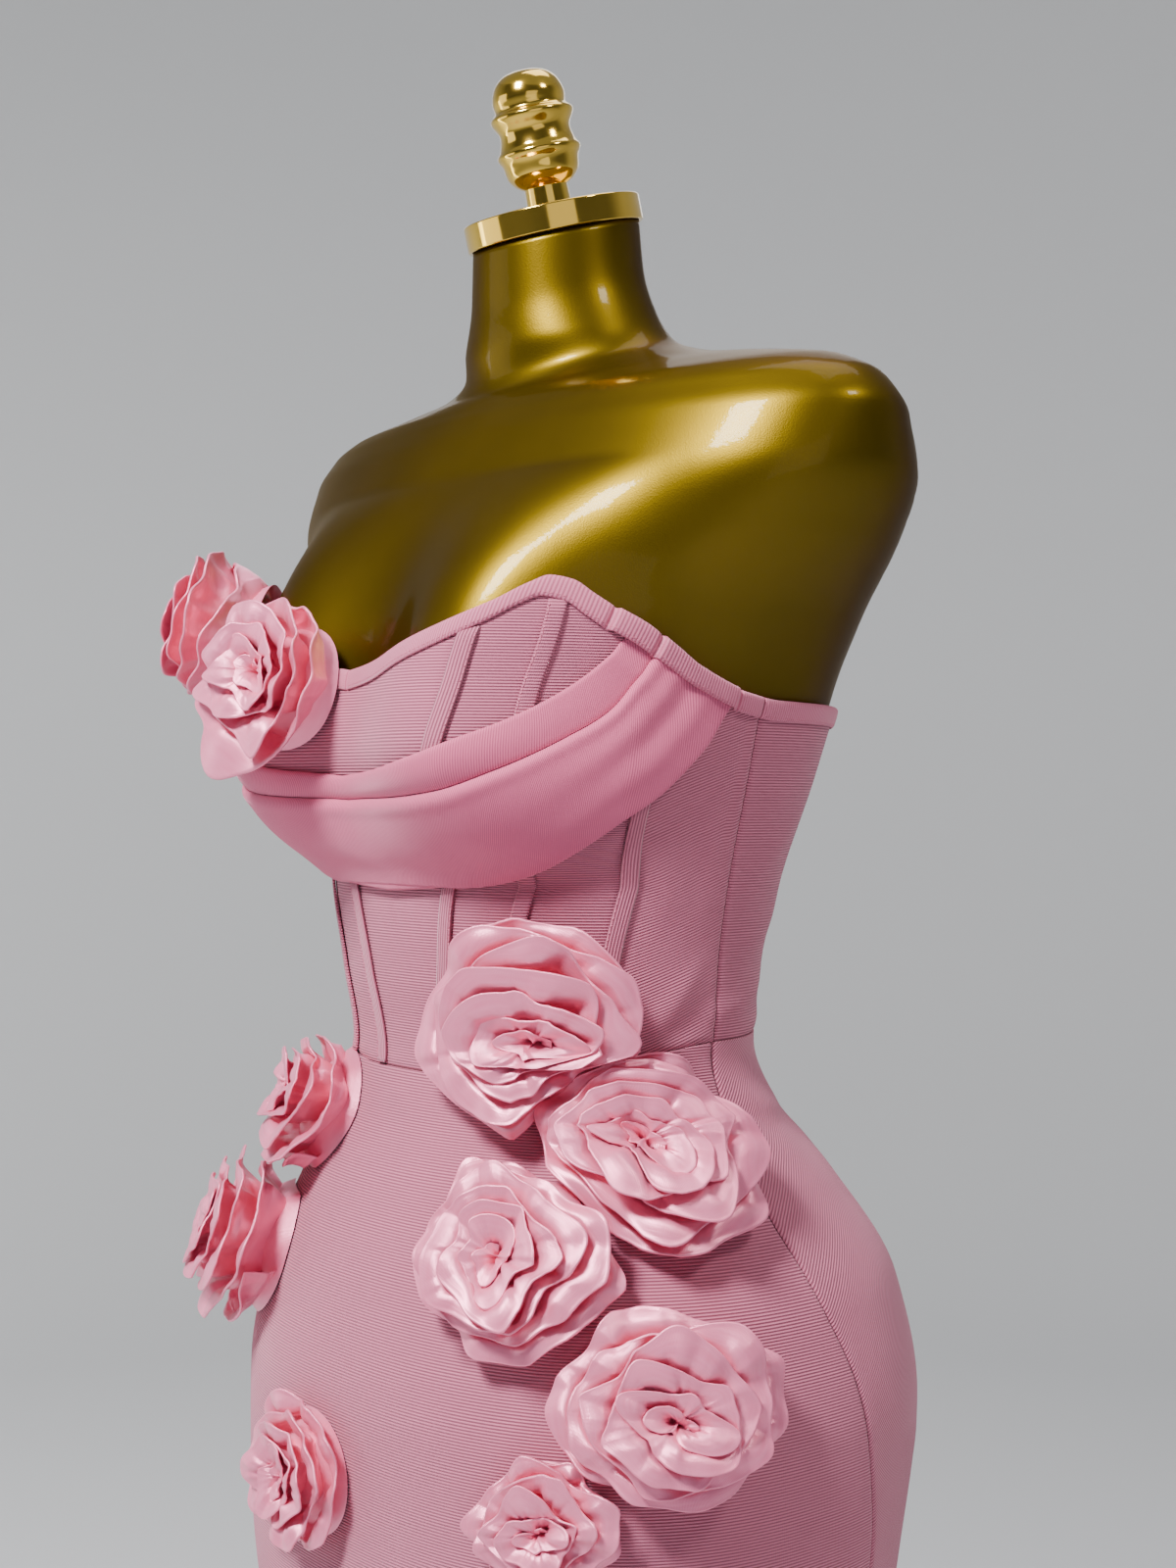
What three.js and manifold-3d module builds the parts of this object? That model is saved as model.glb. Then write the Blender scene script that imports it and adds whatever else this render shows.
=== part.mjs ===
// A strapless corset bodycon dress with ribbon roses and a draped bust swag, worn by a limbless
// dress form on a pole stand.
// Millimetres. +X is the wearer's left, -Y the front, +Z up. The origin is on the floor, under the pole.
import * as THREE from "three";
import { mergeVertices } from "three/addons/utils/BufferGeometryUtils.js";
import Module from "manifold-3d";

const wasm = await Module();
wasm.setup();

const DEGREE = Math.PI / 180;

// Driving sizes
const GAP = 0.3; // between pieces that touch at a seam
const EASE = 1.6; // from the form's skin to the inside of the cloth
const CLOTH = 1.8; // wall of the double knit
const OUTSIDE = EASE + CLOTH; // from the form's skin to the outside of the cloth
const HEM_Z = 480; // just below the knee
const FORM_BOTTOM_Z = 690; // the form ends at mid thigh
const WAIST_SEAM = { front: 1056, side: 1073, frontAngle: 25, sideAngle: 100 };
const BINDING = { drop: 9.5, wall: 1.2, over: 1.2, lift: 0.7 };
const CASING = { width: 8.5, wall: 0.8, lift: 1.15 };
const ZIP = { chainHalf: 1.6, seamHalf: 2.0, chainIn: 1.7, chainOut: 3.9, endLine: 900 };
const SKIRT_LINES = [480, 570, 660, 740, 805, 860, 900, 932, 960, 984, 1006, 1027, 1047, 1073];
const BODICE_ROWS = 16;

// The figure's level sections: half width, the y of the front and back, the y of the widest line,
// how square the front and back halves are (2 is an ellipse), and the section's tilt in degrees.
const FIGURE = [
  { z: 470, half: 121, front: -88, back: 100, mid: 8, squareFront: 2.3, squareBack: 2.2, tilt: 0 },
  { z: 560, half: 128, front: -95, back: 109, mid: 10, squareFront: 2.3, squareBack: 2.2, tilt: 0 },
  { z: 650, half: 141, front: -105, back: 124, mid: 14, squareFront: 2.4, squareBack: 2.2, tilt: 0 },
  { z: 740, half: 157, front: -116, back: 142, mid: 17, squareFront: 2.5, squareBack: 2.2, tilt: 0 },
  { z: 820, half: 170, front: -122, back: 159, mid: 19, squareFront: 2.6, squareBack: 2.2, tilt: 0 },
  { z: 895, half: 175, front: -123, back: 172, mid: 20, squareFront: 2.5, squareBack: 2.2, tilt: 0 },
  { z: 950, half: 166, front: -115, back: 162, mid: 18, squareFront: 2.4, squareBack: 2.2, tilt: 0 },
  { z: 1000, half: 141, front: -100, back: 130, mid: 11, squareFront: 2.3, squareBack: 2.2, tilt: 0 },
  { z: 1035, half: 120, front: -87, back: 99, mid: 4, squareFront: 2.2, squareBack: 2.2, tilt: 0 },
  { z: 1068, half: 111, front: -81, back: 86, mid: 0, squareFront: 2.2, squareBack: 2.2, tilt: 0 },
  { z: 1105, half: 113, front: -85, back: 88, mid: 0, squareFront: 2.3, squareBack: 2.3, tilt: 0 },
  { z: 1147, half: 120, front: -89, back: 96, mid: 2, squareFront: 2.3, squareBack: 2.4, tilt: 0 },
  { z: 1200, half: 132, front: -88, back: 113, mid: 7, squareFront: 2.3, squareBack: 2.5, tilt: 0 },
  { z: 1240, half: 142, front: -85, back: 124, mid: 11, squareFront: 2.2, squareBack: 2.5, tilt: 0 },
  { z: 1275, half: 160, front: -82, back: 128, mid: 15, squareFront: 2.3, squareBack: 2.5, tilt: 0 },
  { z: 1310, half: 190, front: -75, back: 126, mid: 19, squareFront: 2.3, squareBack: 2.4, tilt: 0 },
  { z: 1340, half: 208, front: -67, back: 116, mid: 21, squareFront: 2.2, squareBack: 2.3, tilt: 0 },
  { z: 1362, half: 209, front: -58, back: 105, mid: 21, squareFront: 2.1, squareBack: 2.2, tilt: 0 },
  { z: 1378, half: 200, front: -51, back: 96, mid: 20, squareFront: 2.0, squareBack: 2.1, tilt: 3 },
  { z: 1389, half: 178, front: -46, back: 86, mid: 19, squareFront: 2.0, squareBack: 2.0, tilt: 7 },
  { z: 1397, half: 134, front: -43, back: 76, mid: 17, squareFront: 1.75, squareBack: 2.0, tilt: 11 },
  { z: 1403, half: 88, front: -38, back: 69, mid: 15, squareFront: 1.65, squareBack: 2.0, tilt: 13 },
  { z: 1411, half: 63, front: -37, back: 64, mid: 13, squareFront: 1.75, squareBack: 2.0, tilt: 14 },
  { z: 1425, half: 53, front: -38, back: 58, mid: 10, squareFront: 2.0, squareBack: 2.0, tilt: 14 },
  { z: 1447, half: 46, front: -37, back: 52, mid: 8, squareFront: 2.0, squareBack: 2.0, tilt: 15 },
  { z: 1474, half: 43.5, front: -37, back: 50, mid: 6.5, squareFront: 2.0, squareBack: 2.0, tilt: 15 },
];
const NECK_TOP = FIGURE.at(-1);

// The two cups: the place and reach of each, then the height and the dip between them, for the
// lined cloth and for the form under it.
const CUP = { x: 80, z: 1215, reachOut: 74, reachUp: 128, reachDown: 68, powerUp: 0.85, powerDown: 1.45 };
const CLOTH_CUP = { rise: 55, valley: 0.4 };
const FORM_CUP = { rise: 53, valley: 0.52 };

// Seams, as angles round the figure from the centre front, at each height.
const SEAMS = [
  { z: 1050, inner: 15, cup: 39, underarm: 65, side: 94.7 },
  { z: 1100, inner: 19.8, cup: 41.5, underarm: 65.7, side: 95.5 },
  { z: 1147, inner: 24, cup: 46.5, underarm: 68.5, side: 94.2 },
  { z: 1180, inner: 35.5, cup: 52.5, underarm: 72.5, side: 93.2 },
  { z: 1215, inner: 45.3, cup: 57.2, underarm: 75, side: 92 },
  { z: 1245, inner: 47.3, cup: 57.6, underarm: 76, side: 91.2 },
  { z: 1292, inner: 47.3, cup: 55.6, underarm: 76, side: 91.2 },
];
const SKIRT_SIDE = [
  { z: 470, side: 102.5 },
  { z: 834, side: 102.5 },
  { z: 877, side: 100.4 },
  { z: 922, side: 97.3 },
  { z: 963, side: 92.6 },
  { z: 1002, side: 90.4 },
  { z: 1047, side: 93.8 },
  { z: 1080, side: 94.7 },
];

// The neckline's height round the figure, alike on both sides.
const NECKLINE = [
  { angle: 0, z: 1247.5 },
  { angle: 18, z: 1251.5 },
  { angle: 31, z: 1257.5 },
  { angle: 42, z: 1265 },
  { angle: 49, z: 1274.5 },
  { angle: 52.5, z: 1282.5 },
  { angle: 54.5, z: 1286 },
  { angle: 57, z: 1284.5 },
  { angle: 60, z: 1278.5 },
  { angle: 63.5, z: 1271.5 },
  { angle: 68, z: 1264 },
  { angle: 72, z: 1256 },
  { angle: 77, z: 1247 },
  { angle: 87, z: 1237 },
  { angle: 96, z: 1234 },
  { angle: 120, z: 1233 },
  { angle: 180, z: 1231 },
];

// The swag's three long edges, from the centre front to the ends under the binding: the angle and
// the height of each, alike on both sides. The last row's heights are the binding's lower edge.
const SWAG = [
  { share: 0, topAngle: 0, topZ: 1200, foldAngle: 0, foldZ: 1190, lowAngle: 0, lowZ: 1143.5 },
  { share: 0.2, topAngle: 24, topZ: 1203, foldAngle: 26, foldZ: 1192, lowAngle: 20, lowZ: 1145.5 },
  { share: 0.4, topAngle: 42, topZ: 1209, foldAngle: 44.4, foldZ: 1195.5, lowAngle: 38, lowZ: 1151 },
  { share: 0.55, topAngle: 52, topZ: 1217.5, foldAngle: 55, foldZ: 1203, lowAngle: 52, lowZ: 1158.5 },
  { share: 0.7, topAngle: 58.8, topZ: 1229, foldAngle: 62.7, foldZ: 1215, lowAngle: 64, lowZ: 1170.5 },
  { share: 0.85, topAngle: 63, topZ: 1242, foldAngle: 67.4, foldZ: 1228.5, lowAngle: 74.4, lowZ: 1188.5 },
  { share: 0.95, topAngle: 64.8, topZ: 1252.5, foldAngle: 69.2, foldZ: 1243, lowAngle: 80.5, lowZ: 1210 },
  { share: 1, topAngle: 65.5, topZ: 1257.5, foldAngle: 70, foldZ: 1249, lowAngle: 84.5, lowZ: 1228.5 },
];
const SWAG_WALL = 1.6;

// Ribbon roses: angle and height of the centre, outer radius, its height over its width, the depth,
// the layer that the rose is sewn to and any lift off it, the turn at which the ribbon starts, and
// the waves along its edge.
const ROSES = [
  { name: "rose_waist", angle: 45.5, z: 1082, radius: 50, tall: 1.05, depth: 30, seat: "casing", start: 20, waves: 7 },
  { name: "rose_side", angle: 69, z: 1028, radius: 48, tall: 1.06, depth: 30, seat: "cloth", start: 150, waves: 8 },
  { name: "rose_belly", angle: 42, z: 979, radius: 46, tall: 1, depth: 31, seat: "cloth", start: 250, waves: 7 },
  { name: "rose_hip", angle: 63.5, z: 926, radius: 49, tall: 0.9, depth: 30, seat: "cloth", start: 90, waves: 9 },
  { name: "rose_thigh_right", angle: -8, z: 866, radius: 36, tall: 1, depth: 24, seat: "cloth", start: 200, waves: 6 },
  { name: "rose_thigh_left", angle: 46.5, z: 875, radius: 30, tall: 1, depth: 24, seat: "cloth", start: 310, waves: 6 },
  { name: "rose_hip_right", angle: -43, z: 956, radius: 44, tall: 1, depth: 41, seat: "cloth", start: 40, waves: 7 },
  { name: "rose_waist_right", angle: -42, z: 1027, radius: 43, tall: 1, depth: 33, seat: "cloth", start: 280, waves: 7 },
  { name: "rose_bust_inner", angle: -22, z: 1240, radius: 42, tall: 0.86, depth: 36, seat: "binding", start: 120, waves: 6 },
  { name: "rose_bust_outer", angle: -53, z: 1268, radius: 42, tall: 1, depth: 47, seat: "swag", start: 0, waves: 6 },
];
const LIFTED = { rose_side: 0.9, rose_bust_outer: -1.1 }; // off that layer
const SEAT = {
  cloth: OUTSIDE + 2 * GAP,
  casing: OUTSIDE + CASING.lift + CASING.wall + 1.5 * GAP,
  binding: OUTSIDE + BINDING.lift + BINDING.wall + 1.5 * GAP,
  swag: OUTSIDE + CASING.lift + CASING.wall + SWAG_WALL + GAP,
};
const RIBBON = { turns: 2.8, stepsPerTurn: 12, wall: 1.7, footShare: 0.74, start: 3, grown: 0.72 };

const CAP = { radius: 45.6, height: 13.6 };
const POLE = { radius: 14, collarRadius: 19, flangeRadius: 38, flangeWall: 6, collarHeight: 46 };
const BASE = { radius: 178, wall: 9, hubRadius: 30, hubHeight: 22 };

// A smooth curve through one column of a table, with no overshoot between its rows.
function column(rows, key, name) {
  const x = rows.map((row) => row[key]);
  const y = rows.map((row) => row[name]);
  const slope = x.slice(1).map((right, i) => (y[i + 1] - y[i]) / (right - x[i]));
  const tangent = x.map((_, i) => {
    if (i === 0) return slope[0];
    if (i === x.length - 1) return slope[i - 1];
    const [before, after] = [slope[i - 1], slope[i]];
    return before * after <= 0 ? 0 : (2 * before * after) / (before + after);
  });
  return (at) => {
    const p = Math.min(Math.max(at, x[0]), x.at(-1));
    let i = 0;
    while (i < x.length - 2 && p > x[i + 1]) i++;
    const width = x[i + 1] - x[i];
    const s = (p - x[i]) / width;
    return (
      y[i] * (1 + 2 * s) * (1 - s) ** 2 +
      tangent[i] * width * s * (1 - s) ** 2 +
      y[i + 1] * s * s * (3 - 2 * s) +
      tangent[i + 1] * width * s * s * (s - 1)
    );
  };
}

function columns(rows, key, names) {
  return Object.fromEntries(names.map((name) => [name, column(rows, key, name)]));
}

const section = columns(FIGURE, "z", ["half", "front", "back", "mid", "squareFront", "squareBack", "tilt"]);
const swagTable = columns(SWAG, "share", ["topAngle", "topZ", "foldAngle", "foldZ", "lowAngle", "lowZ"]);
const seam = columns(SEAMS, "z", ["inner", "cup", "underarm", "side"]);
const skirtSide = column(SKIRT_SIDE, "z", "side");
const necklineZ = column(NECKLINE, "angle", "z");
const neckline = (angle) => necklineZ(Math.abs(angle));

function mix(a, b, share) {
  return a + (b - a) * share;
}

function smooth(low, high, at) {
  const s = Math.min(Math.max((at - low) / (high - low), 0), 1);
  return s * s * (3 - 2 * s);
}

// How far a cup stands out in front of the figure's section.
function cupRise(x, z, cup) {
  const across = Math.abs(x) - CUP.x;
  const outward = Math.min(across / CUP.reachOut, 1);
  const wide = across > 0
    ? Math.cos((outward * Math.PI) / 2) ** 2
    : 1 - cup.valley * Math.cos(((Math.abs(x) / CUP.x) * Math.PI) / 2) ** 2;
  const climb = (z - CUP.z) / (z > CUP.z ? CUP.reachUp : CUP.reachDown);
  const power = climb > 0 ? CUP.powerUp : CUP.powerDown;
  return Math.abs(climb) < 1 ? cup.rise * wide * Math.cos((climb * Math.PI) / 2) ** power : 0;
}

// A point of the figure at an angle from the centre front, in degrees, and a height.
function figure(angle, z, cup) {
  const a = angle * DEGREE;
  const [side, forward] = [Math.sin(a), Math.cos(a)];
  const mid = section.mid(z);
  const ahead = forward > 0;
  const depth = ahead ? mid - section.front(z) : section.back(z) - mid;
  const square = ahead ? section.squareFront(z) : section.squareBack(z);
  const half = section.half(z);
  const r = (Math.abs(side / half) ** square + Math.abs(forward / depth) ** square) ** (-1 / square);
  const x = r * side;
  const out = -r * forward - (ahead ? cupRise(x, z, cup) * Math.min(1, 3 * forward) : 0);
  const tilt = section.tilt(z) * DEGREE;
  return new THREE.Vector3(x, mid + out * Math.cos(tilt), z + out * Math.sin(tilt));
}

// A point at a distance out from the figure, square to it.
function offFigure(angle, z, out, cup = CLOTH_CUP) {
  const [turn, rise] = [0.4, 1.5];
  const round = figure(angle + turn, z, cup).sub(figure(angle - turn, z, cup));
  const up = figure(angle, z + rise, cup).sub(figure(angle, z - rise, cup));
  return figure(angle, z, cup).addScaledVector(round.cross(up).normalize(), out);
}

// Millimetres round the figure for each degree, and millimetres up the cloth for each millimetre of height.
function cloth(angle, z) {
  const round = figure(angle + 1, z, CLOTH_CUP).distanceTo(figure(angle - 1, z, CLOTH_CUP)) / 2;
  const up = figure(angle, z + 5, CLOTH_CUP).distanceTo(figure(angle, z - 5, CLOTH_CUP)) / 10;
  return { round, up };
}

// A closed mesh from points and triangles, turned to face outwards.
function closed(points, faces) {
  const corner = points.flatMap((p) => [p.x, p.y, p.z]);
  const volume = faces.reduce((sum, [a, b, c]) => sum + points[a].dot(points[b].clone().cross(points[c])), 0);
  const index = faces.flatMap(([a, b, c]) => (volume < 0 ? [a, c, b] : [a, b, c]));
  const geometry = new THREE.BufferGeometry();
  geometry.setAttribute("position", new THREE.Float32BufferAttribute(corner, 3));
  geometry.setIndex(index);
  return geometry;
}

// A tube through polygons that all have the same number of corners, closed by a fan at each end.
function loft(polygons) {
  const count = polygons[0].length;
  const points = polygons.flat();
  const faces = [];
  for (let i = 0; i + 1 < polygons.length; i++)
    for (let j = 0; j < count; j++) {
      const [a, b] = [i * count + j, i * count + ((j + 1) % count)];
      faces.push([a, b, b + count], [a, b + count, a + count]);
    }
  const last = points.length - count;
  for (let j = 1; j + 1 < count; j++) faces.push([0, j + 1, j], [last, last + j, last + j + 1]);
  return closed(points, faces);
}

// A cloth wall from place(across, along, side), where side is 0 on the inside and 1 on the outside.
function wall(acrossSteps, alongSteps, place) {
  const polygons = [];
  for (let j = 0; j <= alongSteps; j++) {
    const row = [0, 1].map((side) =>
      Array.from({ length: acrossSteps + 1 }, (_, i) => place(i / acrossSteps, j / alongSteps, side)),
    );
    polygons.push([...row[0], ...row[1].reverse()]);
  }
  const count = polygons[0].length;
  const points = polygons.flat();
  const faces = [];
  for (let i = 0; i < alongSteps; i++)
    for (let j = 0; j < count; j++) {
      const [a, b] = [i * count + j, i * count + ((j + 1) % count)];
      faces.push([a, b, b + count], [a, b + count, a + count]);
    }
  for (const [start, flip] of [[0, true], [alongSteps * count, false]])
    for (let i = 0; i < acrossSteps; i++) {
      const [a, b] = [start + i, start + i + 1];
      const [c, d] = [start + count - 2 - i, start + count - 1 - i];
      faces.push(...(flip ? [[a, c, b], [a, d, c]] : [[a, b, c], [a, c, d]]));
    }
  return closed(points, faces);
}

const finish = (color, roughness, metalness) => new THREE.MeshStandardMaterial({ color, roughness, metalness });
const KNIT = finish(0xe9a0b4, 0.85, 0);
const SATIN = finish(0xf7afc4, 0.4, 0);
const GOLD_PAINT = finish(0x9a7a16, 0.3, 0.7);
const GOLD_PLATE = finish(0xd6b84a, 0.12, 1);

const dress = new THREE.Group();
const stand = new THREE.Group();

function add(group, name, geometry, material) {
  const mesh = new THREE.Mesh(geometry, material);
  mesh.name = name;
  group.add(mesh);
  return mesh;
}

function solid(geometry) {
  const bare = geometry.clone();
  for (const name of ["normal", "uv"]) bare.deleteAttribute(name);
  const merged = mergeVertices(bare, 1e-4);
  return new wasm.Manifold(
    new wasm.Mesh({
      numProp: 3,
      vertProperties: merged.attributes.position.array,
      triVerts: new Uint32Array(merged.index.array),
    }),
  );
}

function geometryOf(made) {
  const mesh = made.getMesh();
  const geometry = new THREE.BufferGeometry();
  geometry.setAttribute("position", new THREE.Float32BufferAttribute(mesh.vertProperties, 3));
  geometry.setIndex(new THREE.BufferAttribute(mesh.triVerts, 1));
  return geometry;
}

// The waist seam dips a little from the sides to the front.
function waistSeam(angle) {
  return mix(WAIST_SEAM.front, WAIST_SEAM.side, smooth(WAIST_SEAM.frontAngle, WAIST_SEAM.sideAngle, Math.abs(angle)));
}

// A panel between two seams, from the height low(angle) to high(angle).
// left and right give an angle at a height, and inset is half the gap that each seam keeps.
function panel({ left, right, low, high, steps, rows, inset = [GAP / 2, GAP / 2] }) {
  return wall(steps[0], steps[1], (across, step, side) => {
    const along = rows ? rows[Math.round(step * steps[1])] : step;
    const guess = (left(1100) + right(1100)) / 2;
    let z = mix(low(guess), high(guess), along);
    let angle = guess;
    for (let pass = 0; pass < 4; pass++) {
      const round = cloth(mix(left(z), right(z), across), z).round;
      const insets = inset.map((give) => (typeof give === "function" ? give(z) : give) / round);
      angle = mix(left(z) + insets[0], right(z) - insets[1], across);
      z = mix(low(angle), high(angle), along);
    }
    return offFigure(angle, z, side ? OUTSIDE : EASE);
  });
}

const bodiceTop = (angle) => neckline(angle) - BINDING.over - GAP;
const bodiceLow = (angle) => waistSeam(angle) + GAP / 2;
const skirtTop = (angle) => waistSeam(angle) - GAP / 2;
const centreBack = (sign) => () => sign * 180;
const mirrored = (f) => (z) => -f(z);

// The bodice's seam lines on one side, from the centre front, and the columns of points between them.
const BODICE = [
  { name: "bodice_cup", from: seam.inner, to: seam.cup, columns: 4 },
  { name: "bodice_front_side", from: seam.cup, to: seam.underarm, columns: 3 },
  { name: "bodice_side", from: seam.underarm, to: seam.side, columns: 3 },
];
const FRONT_COLUMNS = 12;
const BACK_COLUMNS = 9;

function bodicePanels() {
  const range = { low: bodiceLow, high: bodiceTop };
  const front = { left: mirrored(seam.inner), right: seam.inner, steps: [FRONT_COLUMNS, BODICE_ROWS] };
  add(dress, "bodice_front_centre", panel({ ...front, ...range }), KNIT);
  for (const { name, from, to, columns } of BODICE) {
    const steps = [columns, BODICE_ROWS];
    add(dress, name + "_left", panel({ left: from, right: to, steps, ...range }), KNIT);
    add(dress, name + "_right", panel({ left: mirrored(to), right: mirrored(from), steps, ...range }), KNIT);
  }
  const back = { steps: [BACK_COLUMNS, BODICE_ROWS - 4], ...range };
  const zipInset = ZIP.seamHalf;
  add(dress, "bodice_back_left",
    panel({ ...back, left: seam.side, right: centreBack(1), inset: [GAP / 2, zipInset] }), KNIT);
  add(dress, "bodice_back_right",
    panel({ ...back, left: centreBack(-1), right: mirrored(seam.side), inset: [zipInset, GAP / 2] }), KNIT);
}

function skirtPanels() {
  const [low, high] = [SKIRT_LINES[0], SKIRT_LINES.at(-1)];
  const rows = SKIRT_LINES.map((z) => (z - low) / (high - low));
  const range = { low: () => HEM_Z, high: skirtTop, rows };
  const count = rows.length - 1;
  const front = { left: mirrored(skirtSide), right: skirtSide, steps: [24, count], ...range };
  add(dress, "skirt_front", panel(front), KNIT);
  const zipInset = (z) => (z > ZIP.endLine - 1 ? ZIP.seamHalf : GAP / 2);
  add(dress, "skirt_back_left",
    panel({ ...range, left: skirtSide, right: centreBack(1), steps: [9, count], inset: [GAP / 2, zipInset] }), KNIT);
  add(dress, "skirt_back_right",
    panel({ ...range, left: centreBack(-1), right: mirrored(skirtSide), steps: [9, count], inset: [zipInset, GAP / 2] }),
    KNIT);
}

// The angle at which a seam meets the neckline.
function seamTop(seamAt) {
  return [0, 1, 2, 3].reduce((angle) => seamAt(neckline(angle)), seamAt(NECKLINE[0].z));
}

// The binding folds over the top edge: one leg outside the panels and a cap over their edge.
function bindings() {
  const inner = OUTSIDE + BINDING.lift;
  const outer = inner + BINDING.wall;
  const profile = (angle) => {
    const top = neckline(angle);
    return [
      [BINDING.over, inner],
      [BINDING.over, EASE],
      [0, EASE],
      [0, outer],
      [BINDING.drop, outer],
      [BINDING.drop, inner],
    ].map(([drop, out]) => offFigure(angle, top - drop, out));
  };
  // The stations stand over the columns of the panels below, from the centre front or the side seam.
  const spread = (from, to, steps) => Array.from({ length: steps }, (_, i) => mix(from, to, (i + 1) / steps));
  const side = seamTop(seam.side);
  const stations = BODICE.flatMap(({ from, to, columns }) => spread(seamTop(from), seamTop(to), columns));
  const front = [0, ...spread(0, seamTop(seam.inner), FRONT_COLUMNS / 2), ...stations];
  const back = [side, ...spread(side, 180, BACK_COLUMNS)];
  const trimmed = (angles, [start, end]) => {
    const shift = (i, by) => by / cloth(angles[i], neckline(angles[i])).round;
    return [angles[0] + shift(0, start), ...angles.slice(1, -1), angles.at(-1) - shift(angles.length - 1, end)];
  };
  const frontBand = trimmed(front, [GAP / 2, GAP / 2]);
  const backBand = trimmed(back, [GAP / 2, ZIP.seamHalf + GAP]);
  const fold = (angles) => loft(angles.map(profile));
  const mirror = (angles) => angles.map((angle) => -angle).reverse();
  add(dress, "binding_front_left", fold(frontBand), KNIT);
  add(dress, "binding_front_right", fold(mirror(frontBand)), KNIT);
  add(dress, "binding_back_left", fold(backBand), KNIT);
  add(dress, "binding_back_right", fold(mirror(backBand)), KNIT);
}

// Boning casings: strips sewn over the bodice seams, from the waist seam to the binding.
function casings() {
  const lines = [
    { name: "casing_inner", seamAt: seam.inner },
    { name: "casing_cup", seamAt: seam.cup },
    { name: "casing_underarm", seamAt: seam.underarm },
  ];
  for (const { name, seamAt } of lines)
    for (const [hand, sign] of [["left", 1], ["right", -1]]) {
      const strip = Array.from({ length: BODICE_ROWS + 1 }, (_, i) => {
        let angle = seamAt(1100);
        let z = 0;
        for (let pass = 0; pass < 5; pass++) {
          z = mix(bodiceLow(angle), bodiceTop(angle), i / BODICE_ROWS);
          if (i === 0) z += 1;
          z = Math.min(z, neckline(angle) - BINDING.drop - 2.9);
          angle = seamAt(z);
        }
        const half = CASING.width / 2 / cloth(angle, z).round;
        const corner = (a, out) => offFigure(sign * a, z, out);
        const [low, high] = [OUTSIDE + CASING.lift, OUTSIDE + CASING.lift + CASING.wall];
        return [
          corner(angle - half, low),
          corner(angle + half, low),
          corner(angle + half * 0.9, high),
          corner(angle - half * 0.9, high),
        ];
      });
      add(dress, name + "_" + hand, loft(strip), KNIT);
    }
}

// A point on one long edge of the swag, from the right end at -1 to the left end at 1.
function swagEdge(name) {
  const [angle, z] = ["Angle", "Z"].map((column) => swagTable[name + column]);
  return (share) => ({ angle: Math.sign(share) * angle(Math.abs(share)), z: z(Math.abs(share)) });
}

// The draped swag: a narrow fold above, and the broad band whose rolled top edge lies over it.
function swag() {
  const [top, fold, low] = ["top", "fold", "low"].map(swagEdge);
  const rest = OUTSIDE + CASING.lift + CASING.wall + GAP;
  const tuck = 2.4; // how far the band's rolled edge stands over the narrow fold
  const layer = (upper, lower, [insideTop, insideLow], bulge, steps) =>
    wall(steps[1], steps[0], (across, along, side) => {
      const share = mix(-1, 1, along);
      const [high, low] = [upper(share), lower(share)];
      const angle = mix(low.angle, high.angle, across);
      const z = mix(low.z, high.z, across);
      const swell = bulge * Math.sin(Math.PI * across) * (1 - Math.abs(share) ** 3);
      const lie = mix(insideLow, insideTop, across) + (side ? SWAG_WALL : 0);
      return offFigure(angle, z, lie + swell);
    });
  const foldLow = (share) => {
    const edge = fold(share);
    return { angle: edge.angle, z: edge.z + 0.4 };
  };
  add(dress, "swag_fold", layer(top, foldLow, [rest, rest], 1.2, [32, 2]), KNIT);
  const band = layer(fold, low, [rest + tuck, rest + 1.2], 3.2, [32, 5]);
  add(dress, "swag_band", band, KNIT);
}

// How far a rose may reach in a direction before it presses on its neighbour.
function roseReach(rose, direction) {
  const here = cloth(rose.angle, rose.z);
  let reach = rose.radius;
  for (const other of ROSES) {
    if (other === rose) continue;
    const across = (other.angle - rose.angle) * here.round;
    const up = (other.z - rose.z) * here.up;
    const apart = Math.hypot(across, up);
    const facing = Math.cos(direction - Math.atan2(up, across));
    const share = rose.radius / (rose.radius + other.radius);
    if (facing > 0.1) reach = Math.min(reach, (apart * share - 1.6) / facing);
  }
  return reach;
}

// A ribbon rose: one folded ribbon wound outwards on the dress. It stands upright in the middle
// and leans further out on each turn. A neighbour presses a whole side of the rose in.
function rose(row) {
  const seat = SEAT[row.seat] + (LIFTED[row.name] ?? 0);
  const here = cloth(row.angle, row.z);
  const at = (direction, radius, lift) =>
    offFigure(
      row.angle + (radius * Math.cos(direction)) / here.round,
      row.z + (radius * row.tall * Math.sin(direction)) / here.up,
      seat + lift,
    );
  const steps = Math.round(RIBBON.turns * RIBBON.stepsPerTurn);
  const ribbon = Array.from({ length: steps + 1 }, (_, i) => {
    const share = i / steps;
    const grown = Math.min(share / RIBBON.grown, 1);
    const direction = row.start * DEGREE + share * RIBBON.turns * 2 * Math.PI;
    const pressed = Math.min(1, (roseReach(row, direction) - 0.5) / row.radius);
    const wave = Math.sin(row.waves * direction * 0.5 + row.start) * share;
    const foot = mix(RIBBON.start, row.radius * RIBBON.footShare, share);
    const edge = mix(RIBBON.start + 2, row.radius - RIBBON.wall - 2.2 + wave * 2.2, grown);
    const height = mix(row.depth, row.depth * 0.3, share ** 1.2) + wave * 2;
    const radii = [foot, mix(foot, edge, 0.35), edge];
    const lifts = [0, height * 0.6, height];
    const side = (by) => radii.map((radius, k) => at(direction, (radius + by) * pressed, lifts[k]));
    return [...side(0), ...side(RIBBON.wall).reverse()];
  });
  return loft(ribbon);
}

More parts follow.
